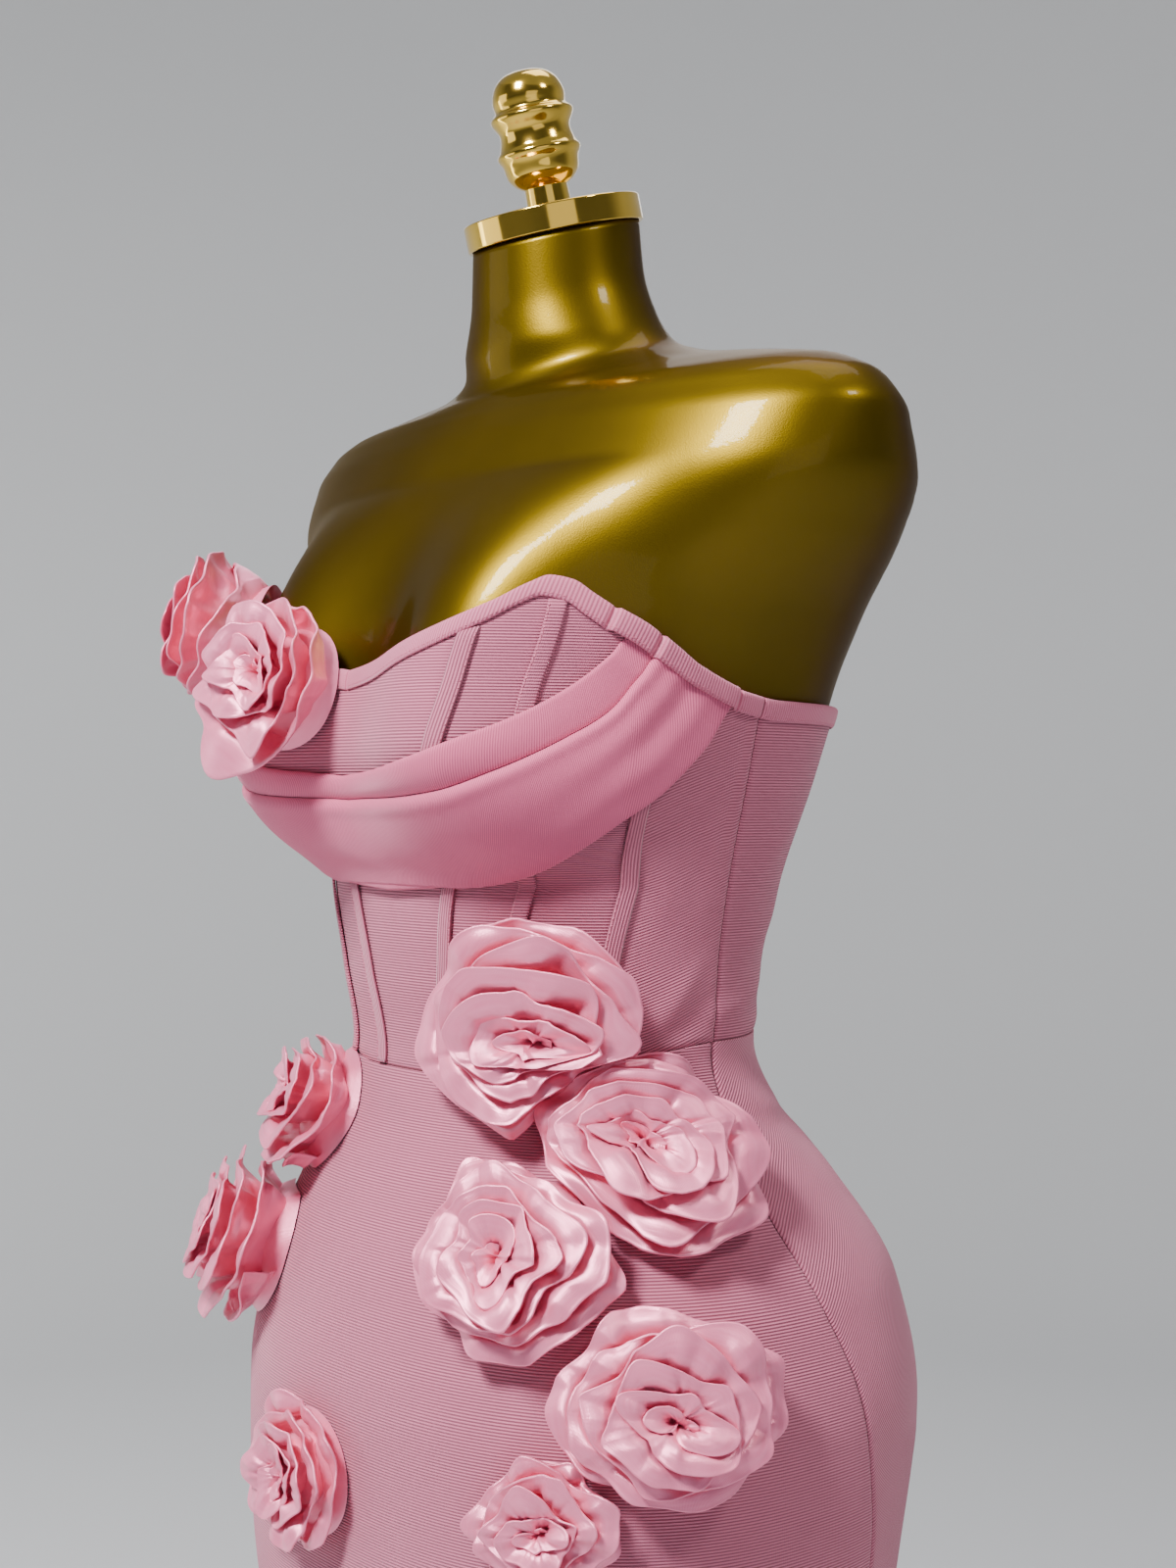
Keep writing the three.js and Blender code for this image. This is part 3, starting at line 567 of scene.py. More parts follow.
@dataclass(frozen=True)
class RibKnit:
    """A rayon and spandex bandage knit: soft, matt and ribbed, with painted shade as a darker line between
    ribs.
    """

    name: str
    rib: str = "#d67d97"
    # The groove colour is painted shade in the hollow between ribs.
    groove_shade: str = "#8a4459"
    pitch: float = 1.4
    depth: float = 0.4
    turn: float = 0
    stitch_pitch: float = 0.95

    def material(self) -> bpy.types.Material:
        """Builds the knit on the piece's own cut, so that the ribs follow the cloth."""
        graph = Graph(self.name)
        flat = graph.mapped(graph.place("UV"), "Rotation", (0, 0, math.radians(self.turn)))
        ribs = graph.wave(flat, "Y", self.pitch)
        loops = graph.wave(flat, "X", self.stitch_pitch)
        yarn = graph.noise(flat, 900.0)
        shade = graph.noise(flat, 14.0, 3.0)
        rounded = graph.add("Math", {"operation": "POWER", 0: ribs, 1: 0.8}).outputs[0]
        height = graph.share_added(yarn, 0.16, graph.share_added(loops, 0.16, rounded))
        # Painted shade: the colour darkens to the groove colour between the ribs.
        colour = graph.blend(rounded, self.groove_shade, self.rib)
        return graph.finished({
            "Base Color": graph.toned(colour, graph.ranged(shade, 0.93, 1.05)),
            "Normal": graph.bump(height, 0.85, self.depth),
            "Roughness": 0.78,
            "Specular IOR Level": 0.3,
            "Sheen Weight": 0.35,
            "Sheen Roughness": 0.45,
            "Sheen Tint": linear("#ffd9e2"),
        })


@dataclass(frozen=True)
class SatinRibbon:
    """A double-faced polyester satin ribbon: bright on its folds, with a fine line of weft."""

    name: str
    face: str = "#ff98b8"
    shadow: str = "#f3779d"
    weft_pitch: float = 0.55

    def material(self) -> bpy.types.Material:
        """Builds the satin on the ribbon's own length and width."""
        graph = Graph(self.name)
        flat = graph.place("UV")
        # The weft is 0.1 mm in life, and is drawn coarser so that it shows
        weft = graph.wave(flat, "X", self.weft_pitch)
        streak = graph.noise(graph.mapped(flat, "Scale", (60, 420, 1)), 1.0, 3.0)
        return graph.finished({
            "Base Color": graph.blend(streak, self.shadow, self.face),
            "Normal": graph.bump(graph.share_added(weft, 0.35, streak), 0.7, 0.16),
            "Metallic": 0.4,
            "Roughness": 0.37,
            "Anisotropic": 0.6,
            "Coat Weight": 0.22,
            "Coat Roughness": 0.3,
            "Specular IOR Level": 0.9,
            "Sheen Weight": 0.12,
            "Sheen Roughness": 0.3,
            "Sheen Tint": linear("#ffe4ec"),
        })


@dataclass(frozen=True)
class FlakePaint:
    """Metallic gold lacquer on a glass-fibre form: brown-gold flake under a clear gloss coat."""

    name: str
    colour: str = "#6c590d"
    dark: str = "#54450a"

    def material(self) -> bpy.types.Material:
        """Builds the lacquer with its flake, faint orange peel and clouding."""
        graph = Graph(self.name)
        place = graph.place("Object")
        flake = graph.add("TexVoronoi", {"Scale": 1400.0, "Vector": place}).outputs["Distance"]
        peel = graph.noise(place, 480.0, 1.0)
        cloud = graph.noise(place, 9.0, 4.0)
        return graph.finished({
            "Base Color": graph.blend(cloud, self.dark, self.colour),
            "Roughness": graph.ranged(cloud, 0.34, 0.44),
            "Normal": graph.bump(flake, 0.25, 0.12),
            "Coat Normal": graph.bump(peel, 0.28, 0.15),
            "Metallic": 0.88,
            "Specular Tint": linear("#8a7434"),
            "Specular IOR Level": 0.3,
            "Coat Weight": 0.14,
            "Coat Roughness": 0.07,
        })


@dataclass(frozen=True)
class GoldPlate:
    """Polished brass-coloured plating on turned metal, with faint turning lines."""

    name: str
    colour: str = "#e3bd4e"
    rough: float = 0.07
    smeared: float = 0.1

    def material(self) -> bpy.types.Material:
        """Builds the plating with smears that show in its gloss."""
        graph = Graph(self.name)
        place = graph.place("Object")
        smear = graph.noise(place, 38.0, 5.0)
        turning = graph.noise(graph.mapped(place, "Scale", (4, 4, 900)), 1.0)
        strong = {"From Min": 0.35, "From Max": 0.75}
        return graph.finished({
            "Base Color": linear(self.colour),
            "Roughness": graph.ranged(smear, self.rough, self.rough + self.smeared, strong),
            "Normal": graph.bump(turning, 0.06, 0.05),
            "Metallic": 1.0,
        })


@dataclass(frozen=True)
class PlainFinish:
    """Spun thread, woven tape or a nylon coil: one colour with a light grain."""

    name: str
    colour: str
    rough: float
    grain: float
    depth: float = 0.05

    def material(self) -> bpy.types.Material:
        """Builds the finish with its grain in colour and height."""
        graph = Graph(self.name)
        grain = graph.noise(graph.place("Object"), self.grain, 3.0)
        return graph.finished({
            "Base Color": graph.toned(linear(self.colour), graph.ranged(grain, 0.94, 1.04)),
            "Normal": graph.bump(grain, 0.3, self.depth),
            "Roughness": self.rough,
        })


@dataclass(frozen=True)
class SweepPaint:
    """Matt wall paint, pale behind the part, with painted shade that makes it greyer behind the camera, and a
    pale floor.
    """

    name: str
    pale: str = "#cfd1d1"
    painted_shade_grey: str = "#77797a"

    def material(self) -> bpy.types.Material:
        """Builds the paint with painted shade: a soft change of tone round the room, greyer up the wall
        behind the camera.
        """
        graph = Graph(self.name)
        place = graph.place("Object")
        a = math.radians(VIEW_AZIMUTH)
        behind = (-math.sin(a), math.cos(a), 0)
        away = graph.add("VectorMath", {"operation": "DOT_PRODUCT", 0: place, 1: behind}).outputs["Value"]
        height = graph.add("SeparateXYZ", {0: place}).outputs["Z"]
        soft = {"interpolation_type": "SMOOTHSTEP"}
        around = graph.ranged(away, 0.0, 1.0, {**soft, "From Min": -1.5, "From Max": 1.5})
        floor = graph.ranged(height, 1.0, 0.0, {**soft, "From Min": 0.1, "From Max": 1.2})
        # Painted shade: the wall goes grey behind the camera above the floor.
        tone = graph.add("Math", {"operation": "MAXIMUM", 0: around, 1: floor}).outputs[0]
        return graph.finished({"Base Color": graph.blend(tone, self.painted_shade_grey, self.pale), "Roughness": 0.9})


class Wardrobe:
    """Keeps each finish's material, made once."""

    def __init__(self) -> None:
        """Makes the finishes that the pieces share."""
        self.knit = {grain: RibKnit(f"bandage_knit_{grain.name.lower()}", turn=grain.value).material()
                     for grain in Grain}
        # The groove colours are painted shade between the ribs.
        self.twill = RibKnit("bandage_knit_swag", pitch=0.95, depth=0.12, turn=-58, rib="#e26f93",
                             groove_shade="#b84f72").material()
        self.binding = RibKnit("bandage_knit_binding", depth=0.2, groove_shade="#b65a76").material()
        self.satin = SatinRibbon("satin_ribbon").material()
        self.thread = PlainFinish("sewing_thread", "#d0708a", 0.5, 1800.0).material()
        self.tape = PlainFinish("zip_tape_woven", "#d38ba0", 0.8, 900.0).material()
        self.coil = PlainFinish("zip_coil_nylon", "#dfa0b2", 0.35, 500.0, 0.02).material()
        self.paint = FlakePaint("gold_flake_lacquer").material()
        self.plate = GoldPlate("gold_plate_polished").material()
        # The backdrop's grey behind the camera is painted shade.
        self.backdrop = SweepPaint("matt_wall_paint_with_painted_shade").material()


def strides(points: Array) -> Array:
    """The distance from each point of a path to the next."""
    return np.linalg.norm(np.diff(points, axis=0), axis=1)


def gone_by(steps: Array) -> Array:
    """How far along a path each point stands, from the steps between them."""
    return np.concatenate([[0], np.cumsum(steps)])


def strip_area(wide: Array, steps: Array) -> float:
    """The area of a strip, from its width at each point and the steps between them."""
    return float(np.sum((wide[1:] + wide[:-1]) / 2 * steps))


def shares(count: int, long: float, close: Sequence[float] = (0.45, 1.0, 1.9)) -> Array:
    """Where a cloth's lines of points stand, with some close to both edges.

    Args:
        count: How many even steps lie between the close ones.
        long: The cloth's size in this direction, in millimetres.
        close: Distances from an edge, in millimetres.

    Returns:
        Shares from 0 to 1.
    """
    near = np.array(close) / long
    middle = np.linspace(near[-1], 1 - near[-1], count + 1)
    return np.concatenate([[0.0], near[:-1], middle, 1 - near[:-1][::-1], [1.0]])


def linked(name: str, bm: bmesh.types.BMesh, material: bpy.types.Material) -> bpy.types.Object:
    """Makes a scene object of a bmesh, which it frees.

    Args:
        name: The piece's name.
        bm: The finished mesh, in metres.
        material: Its finish.

    Returns:
        The linked object.
    """
    mesh = bpy.data.meshes.new(name)
    bm.to_mesh(mesh)
    bm.free()
    mesh.materials.append(material)
    piece = bpy.data.objects.new(name, mesh)
    bpy.context.scene.collection.objects.link(piece)
    return piece


def laid_grid(across: Array, along: Array, place: Place) -> bmesh.types.BMesh:
    """A grid of cloth laid where place says.

    Args:
        across: Shares of the columns, from 0 to 1.
        along: Shares of the rows, from 0 to 1.
        place: Gives points in millimetres and the flat cut in millimetres for shares.

    Returns:
        The mesh in metres, with its cut as a UV map in metres.
    """
    bm = bmesh.new()
    columns, rows = len(across) - 1, len(along) - 1
    bmesh.ops.create_grid(bm, x_segments=columns, y_segments=rows, size=0.5)
    bm.verts.index_update()
    spot = np.array([vert.co[:2] for vert in bm.verts]) + 0.5
    u = np.interp(spot[:, 0] * columns, np.arange(columns + 1), across)
    v = np.interp(spot[:, 1] * rows, np.arange(rows + 1), along)
    points, flat = place(u, v)
    flat = flat * MM
    cut = bm.loops.layers.uv.new("cut")
    for face in bm.faces:
        face.smooth = True
        for loop in face.loops:
            loop[cut].uv = flat[loop.vert.index]
    for vert, point in zip(bm.verts, points * MM):
        vert.co = point
    return bm


def beads(spots: Sequence[Matrix], around: int, rings: int) -> bmesh.types.BMesh:
    """Many small rounded grains, one at each place.

    Args:
        spots: Where each grain stands, with its size and turn, in metres.
        around: Faces round each grain.
        rings: Rings of each grain.

    Returns:
        One mesh with all the grains.
    """
    seed = bmesh.new()
    bmesh.ops.create_uvsphere(seed, u_segments=around, v_segments=rings, radius=1)
    corners = np.array([[*vert.co, 1.0] for vert in seed.verts])
    faces = [[vert.index for vert in face.verts] for face in seed.faces]
    seed.free()
    points = np.concatenate([corners @ np.array(spot).T for spot in spots])[:, :3]
    every = [[i + n * len(corners) for i in face] for n in range(len(spots)) for face in faces]
    mesh = bpy.data.meshes.new("grains")
    mesh.from_pydata(points.tolist(), [], every)
    bm = bmesh.new()
    bm.from_mesh(mesh)
    bpy.data.meshes.remove(mesh)
    bmesh.ops.recalc_face_normals(bm, faces=bm.faces)
    for face in bm.faces:
        face.smooth = True
    return bm


def grain_stand(here: Vector, *half_axes: Vector) -> Matrix:
    """Where a grain stands in metres, from its place and its three half axes in millimetres."""
    return Matrix.Translation(here * MM) @ (Matrix(half_axes).transposed() * MM).to_4x4()


def eased(piece: bpy.types.Object, width: float, segments: int, angle: float) -> bpy.types.Modifier:
    """Rounds the edges that are sharper than an angle in degrees, over a width in millimetres."""
    bevel = piece.modifiers.new("edge", "BEVEL")
    bevel.width = width * MM
    bevel.segments = segments
    bevel.limit_method = "ANGLE"
    bevel.angle_limit = math.radians(angle)
    return bevel


def walled(piece: bpy.types.Object, wall: float, edge: float = 0.0) -> bpy.types.Object:
    """Gives a cloth its wall on the inside, and rounds the wall's edges.

    Args:
        piece: The outer face.
        wall: Thickness in millimetres.
        edge: Width of the rounding in millimetres, or 0 for none.

    Returns:
        The same piece.
    """
    solid = piece.modifiers.new("wall", "SOLIDIFY")
    solid.thickness = wall * MM
    solid.offset = -1
    solid.use_even_offset = False
    if edge:
        eased(piece, edge, 2, 55)
    return piece


def dressed(piece: bpy.types.Object, slot: Slot, *nodes: str) -> bpy.types.Object:
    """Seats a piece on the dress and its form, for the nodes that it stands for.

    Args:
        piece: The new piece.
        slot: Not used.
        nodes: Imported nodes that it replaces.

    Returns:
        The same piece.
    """
    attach(piece, DRESS_BODY)
    if nodes:
        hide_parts(*nodes)
    log.info("%s: %d faces", piece.name, len(piece.data.polygons))
    return piece


@dataclass
class Panel:
    """One knit panel between two seams, from a lower to a higher edge."""

    name: str
    left: Line
    right: Line
    low: Line
    high: Line
    grain: Grain
    columns: int
    rows: int
    inset: tuple[Line, Line] = (steady(GAP / 2), steady(GAP / 2))
    hemmed: bool = False
    hem_depth: float = 24
    seam_depth: float = 1.0
    seam_width: float = 1.15

    def __post_init__(self) -> None:
        """Works out the panel's middle line."""
        heights = np.array([MID_BODICE_Z])
        self.middle = float((self.left(heights) + self.right(heights))[0] / 2)
        self.low_z = float(self.low(np.array(self.middle)))
        self.high_z = float(self.high(np.array(self.middle)))
        heights = np.linspace(self.low_z - 40, self.high_z + 60, 80)
        rise = FIGURE.climb(np.full(80, self.middle), heights)
        self.course = Curve(heights, gone_by((rise[1:] + rise[:-1]) / 2 * np.diff(heights)))

    def spot(self, u: Array, v: Array) -> tuple[Array, Array]:
        """The angle and height at shares of the way across and up the panel."""
        angle = np.full(u.shape, self.middle)
        z = mix(self.low(angle), self.high(angle), v)
        for _ in range(4):
            left, right = self.left(z), self.right(z)
            about = FIGURE.about(mix(left, right, u), z)
            angle = mix(left + self.inset[0](z) / about, right - self.inset[1](z) / about, u)
            z = mix(self.low(angle), self.high(angle), v)
        return angle, z

    def place(self, u: Array, v: Array) -> tuple[Array, Array]:
        """Points on the panel's outside and the cut that they came from."""
        angle, z = self.spot(u, v)
        left, right = self.left(z), self.right(z)
        about = FIGURE.about(angle, z)
        sides = np.minimum(np.abs(angle - left), np.abs(right - angle)) * about
        climb = FIGURE.climb(angle, z)
        foot = (z - self.low(angle)) * climb
        near = np.minimum(sides, np.where(self.hemmed, 1e3, foot))
        sink = self.seam_depth * bell(near, self.seam_width)
        pucker = 0.12 * np.sin(z * 0.9 + angle) * bell(sides, 4)
        hem = 0.5 * bell(foot - self.hem_depth, 1.2) if self.hemmed else 0
        free = smooth(0, 12, np.abs(self.high(angle) - z))
        out = OUTSIDE - sink - hem + pucker + creased(angle, z) * free
        flat = np.stack([(angle - self.middle) * about, self.course(z)], axis=-1)
        return FIGURE.off(angle, z, out), flat

    def cut(self) -> tuple[float, float, float]:
        """The flat cut's width, length and area in metres, before the knit stretches to the figure."""
        v = np.linspace(0, 1, 41)
        ends = [self.place(np.full(41, side), v)[1] for side in (0.0, 1.0)]
        wide = (ends[1][:, 0] - ends[0][:, 0]) * STRETCH
        tall = np.mean([ends[0][:, 1], ends[1][:, 1]], axis=0)
        top = max(ends[0][:, 1].max(), ends[1][:, 1].max(), float(self.course(self.high_z)))
        length = top - min(ends[0][:, 1].min(), ends[1][:, 1].min())
        return wide.max() * MM, length * MM, strip_area(wide, np.diff(tall)) * MM * MM

    def make(self, wardrobe: Wardrobe) -> bpy.types.Object:
        """Lays the panel and logs its cut."""
        heights = np.array([MID_BODICE_Z])
        degrees = (self.right(heights) - self.left(heights))[0]
        width = float(FIGURE.about(np.array([self.middle]), np.array([self.low_z]))[0] * degrees)
        bm = laid_grid(shares(self.columns, width), shares(self.rows, self.high_z - self.low_z), self.place)
        piece = walled(linked(f"{self.name}_cloth", bm, wardrobe.knit[self.grain]), CLOTH - 0.1, 0.35)
        dressed(piece, Slot.KNIT, self.name)
        wide, length, area = self.cut()
        log.info("cut of %s: %.0f x %.0f mm, %.4f m2", self.name, wide / MM, length / MM, area)
        return piece


@dataclass
class Bodice:
    """The nine panels of the bodice."""

    top_drop: float = 1.5
    seam_clear: float = GAP / 2
    rows: int = 70

    def top(self, angle: Array) -> Array:
        """The panels' top edge, under the binding."""
        return neckline(angle) - self.top_drop

    def low(self, angle: Array) -> Array:
        """The panels' lower edge at the waist seam."""
        return waist_seam(angle) + self.seam_clear

    def panels(self) -> list[Panel]:
        """The panels, from the centre front round each side to the zip."""
        ends = {"low": self.low, "high": self.top, "rows": self.rows}
        made = [Panel("bodice_front_centre", mirrored(INNER), INNER, grain=Grain.LEVEL, columns=64, **ends)]
        strips = (
            ("bodice_cup", INNER, CUP_SEAM, 22, Grain.LEVEL, Grain.LEVEL),
            ("bodice_front_side", CUP_SEAM, UNDERARM, 20, Grain.LEVEL, Grain.LEVEL),
            ("bodice_side", UNDERARM, SIDE, 22, Grain.SLANTED_LEFT, Grain.SLANTED_RIGHT),
        )
        for name, near, far, columns, left_grain, right_grain in strips:
            made.append(Panel(f"{name}_left", near, far, grain=left_grain, columns=columns, **ends))
            made.append(Panel(f"{name}_right", mirrored(far), mirrored(near), grain=right_grain,
                              columns=columns, **ends))
        zip_edge, plain = steady(SEAM_HALF), steady(GAP / 2)
        made.append(Panel("bodice_back_left", SIDE, steady(180), grain=Grain.LEVEL, columns=46,
                          inset=(plain, zip_edge), **ends))
        made.append(Panel("bodice_back_right", steady(-180), mirrored(SIDE), grain=Grain.LEVEL, columns=46,
                          inset=(zip_edge, plain), **ends))
        return made


@dataclass
class Skirt:
    """The skirt's front and its two backs, with a hem stitched all round."""

    rows: int = 150

    def top(self, angle: Array) -> Array:
        """The skirt's upper edge at the waist seam."""
        return waist_seam(angle) - GAP / 2

    def zip_edge(self, z: Array) -> Array:
        """How far the backs stand from the centre: open for the zip above its end."""
        return mix(GAP / 2, SEAM_HALF, smooth(ZIP_END_Z - 3, ZIP_END_Z, z))

    def hem(self, angle: Array) -> Array:
        """The hem's height."""
        return np.full(np.shape(angle), float(HEM_Z))

    def panels(self) -> list[Panel]:
        """The three skirt panels."""
        ends = {"low": self.hem, "high": self.top, "rows": self.rows, "hemmed": True}
        plain = steady(GAP / 2)
        return [
            Panel("skirt_front", mirrored(SKIRT_SIDE), SKIRT_SIDE, grain=Grain.LEVEL, columns=110, **ends),
            Panel("skirt_back_left", SKIRT_SIDE, steady(180), grain=Grain.STEEP_LEFT, columns=54,
                  inset=(plain, self.zip_edge), **ends),
            Panel("skirt_back_right", steady(-180), mirrored(SKIRT_SIDE), grain=Grain.STEEP_RIGHT,
                  columns=54, inset=(self.zip_edge, plain), **ends),
        ]


@dataclass
class Stitching:
    """A row of machine stitches laid on the cloth."""

    name: str
    pitch: float = 2.3
    long: float = 1.9
    thick: float = 0.42
    slant: float = 0

    def make(self, path: Array, outward: Array, wardrobe: Wardrobe) -> bpy.types.Object:
        """Lays the stitches along a path.

        Args:
            path: Points in millimetres, close together.
            outward: The way out of the cloth at each point.
            wardrobe: The finishes.

        Returns:
            One object with all the stitches of the row.
        """
        gone = gone_by(strides(path))
        count = max(int(gone[-1] / self.pitch), 1)
        spots = []
        for i in range(count):
            at = (i + 0.5) * self.pitch
            here, ahead, out = (Vector([np.interp(s, gone, column) for column in rows.T])
                                for s, rows in ((at, path), (at + 0.5, path), (at, outward)))
            way = (ahead - here).normalized()
            side = out.cross(way).normalized()
            lean = math.radians(self.slant * (1 if i % 2 else -1))
            way = (way * math.cos(lean) + side * math.sin(lean)).normalized()
            side = out.cross(way).normalized()
            spots.append(grain_stand(here, way * self.long / 2, side * self.thick / 2,
                                     out.normalized() * self.thick / 2))
        bm = beads(spots, 6, 4)
        return dressed(linked(self.name, bm, wardrobe.thread), Slot.KNIT)


@dataclass
class Casings:
    """Boning casings sewn over the bodice seams, with a zigzag row down one edge of each."""

    bodice: Bodice
    width: float = 8.5
    cut_width: float = 10.0
    wall: float = 0.8
    lift: float = 1.95
    edge_lift: float = 1.45
    clear_of_binding: float = 8.6
    sewn_at: float = 0.4
    rows: int = 90

    def line(self, seam: Line, v: Array) -> tuple[Array, Array]:
        """The angle and height along a seam, from the waist seam to just under the binding."""
        angle = seam(np.full(v.shape, MID_BODICE_Z))
        z = angle
        for _ in range(6):
            z = mix(self.bodice.low(angle) + 1, self.bodice.top(angle), v)
            z = np.minimum(z, neckline(angle) - self.clear_of_binding)
            angle = seam(z)
        return angle, z

    def strip(self, name: str, seam: Line, hand: Hand, wardrobe: Wardrobe, grain: Grain,
              sewn_side: int, panel: str) -> bpy.types.Object:
        """One casing and its stitches.

        Args:
            name: The casing's node.
            seam: The seam's line on the left side.
            hand: The side that it is on.
            wardrobe: The finishes.
            grain: The way that its ribs run.
            sewn_side: 1 for stitches on the outer edge, -1 for the inner one.
            panel: Not used.

        Returns:
            The casing.
        """
        # The line stands still where the binding stops it, and the casing ends there
        full = np.linspace(0, 1, 400)
        last = int(np.argmax(np.diff(self.line(seam, full)[1]) < 1e-3))
        reach = full[last] if last else 1.0

        def place(u: Array, v: Array) -> tuple[Array, Array]:
            angle, z = self.line(seam, v * reach)
            across = (u - 0.5) * self.width
            bulge = 1 - (2 * u - 1) ** 4
            free = smooth(self.clear_of_binding, 12.6, neckline(angle) - z)
            out = OUTSIDE + mix(0.4, mix(self.edge_lift, self.lift, bulge), free)
            turn = across / FIGURE.about(angle, z)
            flat = np.stack([across, z - 1050], axis=-1)
            return FIGURE.off(hand.value * angle + turn, z, out), flat

        bm = laid_grid(np.linspace(0, 1, 9), np.linspace(0, 1, self.rows + 1), place)
        strip = walled(linked(f"{name}_cloth", bm, wardrobe.knit[grain]), self.wall)
        dressed(strip, Slot.KNIT, name)
        middle = place(np.full(300, 0.5), np.linspace(0, 1, 300))[0]
        v = np.linspace(0.01, 0.99, 300)
        u = 0.5 + self.sewn_at * sewn_side * hand.value
        path = place(np.full(300, u), v)[0]
        angle, z = self.line(seam, v * reach)
        outward = FIGURE.outward(hand.value * angle, z)
        row = Stitching(f"stitches_{name}", pitch=1.7, long=1.75, slant=32)
        row.make(path + outward * 0.12, outward, wardrobe)
        return strip

    def make(self, wardrobe: Wardrobe) -> None:
        """Sews the six casings."""
        lines = (
            ("casing_inner", INNER, Grain.UPRIGHT, 1, "bodice_cup"),
            ("casing_cup", CUP_SEAM, Grain.LEVEL, -1, "bodice_cup"),
            ("casing_underarm", UNDERARM, Grain.UPRIGHT, -1, "bodice_side"),
        )
        for name, seam, grain, side, panel in lines:
            for hand in Hand:
                self.strip(f"{name}_{hand.word}", seam, hand, wardrobe, grain, side, panel)


@dataclass
class NeckBinding:
    """The folded band over the top edge, in four lengths."""

    section: tuple[tuple[float, float], ...] = (
        (1.3, 1.75), (0.75, 1.85), (0.28, 2.25), (0.0, 3.0), (0.03, 3.8), (0.4, 4.55), (1.1, 5.0),
        (2.3, 5.2), (4.0, 5.3), (6.0, 5.3), (7.6, 5.2), (8.8, 4.95), (9.4, 4.6), (9.6, 4.2),
    )
    swell: tuple[tuple[float, float], ...] = (
        (0, 0), (61.5, 0.1), (62.9, 0.5), (63.5, 2.0), (65.6, 2.4), (69.6, 2.0), (70.3, 3.5), (74, 3.4),
        (80, 2.7), (84.3, 2.4), (84.9, 0.9), (90, 0.35), (93, 0), (180, 0),
    )
    wall: float = 0.9
    notched: tuple[float, float, float] = (62.9, 69.7, 85.1)
    side: float = 91.2
    mitre_half: float = 0.07
    sewn_at: float = 0.79
    zip_half: float = 1.05

    def place_on(self, start: float, end: float, long: float) -> Place:
        """How the band lies from one angle to another."""
        lines = np.array(self.section)
        swell = curves(self.swell)[0]
        gone = gone_by(strides(lines))

        def place(u: Array, v: Array) -> tuple[Array, Array]:
            angle = mix(start, end, u)
            row = v * (len(lines) - 1)
            drop = np.interp(row, np.arange(len(lines)), lines[:, 0])
            out = np.interp(row, np.arange(len(lines)), lines[:, 1])
            outer = smooth(2.4, 4.6, out)
            notches = sum(1.5 * bell(np.abs(angle) - at, 0.4) for at in self.notched)
            out = out + (swell(np.abs(angle)) - notches) * outer
            ends = np.minimum(u, 1 - u) * long
            out = out - 0.9 * outer * bell(ends, 0.8)
            flat = np.stack([np.interp(row, np.arange(len(lines)), gone), u * long], axis=-1)
            raised = 0.45 * swell(np.abs(angle)) - 0.3 * notches
            return FIGURE.off(angle, neckline(angle) - drop + raised, out), flat

        return place

    def length(self, start: float, end: float) -> float:
        """The top edge's length between two angles, in millimetres."""
        angle = np.linspace(start, end, 200)
        points = FIGURE.off(angle, neckline(angle), np.full(200, OUTSIDE))
        return float(strides(points).sum())

    def make(self, wardrobe: Wardrobe) -> None:
        """Sews the four lengths and the row of stitches along each."""
        front = ("binding_front", self.mitre_half, self.side - self.mitre_half, 420)
        back = ("binding_back", self.side + self.mitre_half, 180 - self.zip_half, 120)
        for hand in Hand:
            for name, near, far, columns in (front, back):
                node = f"{name}_{hand.word}"
                start, end = sorted((hand.value * near, hand.value * far))
                long = self.length(start, end)
                place = self.place_on(start, end, long)
                rows = np.linspace(0, 1, len(self.section))
                bm = laid_grid(shares(columns, long, (0.5, 1.0)), rows, place)
                for face in bm.faces:
                    face.normal_flip()
                piece = walled(linked(f"{node}_cloth", bm, wardrobe.binding), self.wall)
                dressed(piece, Slot.KNIT, node)
                u = np.linspace(0.01, 0.99, 500)
                path = place(u, np.full(500, self.sewn_at))[0]
                angle = mix(start, end, u)
                outward = FIGURE.outward(angle, neckline(angle) - 8)
                row = Stitching(f"stitches_{node}", pitch=2.9, long=2.1, thick=0.34)
                row.make(path + outward * 0.05, outward, wardrobe)


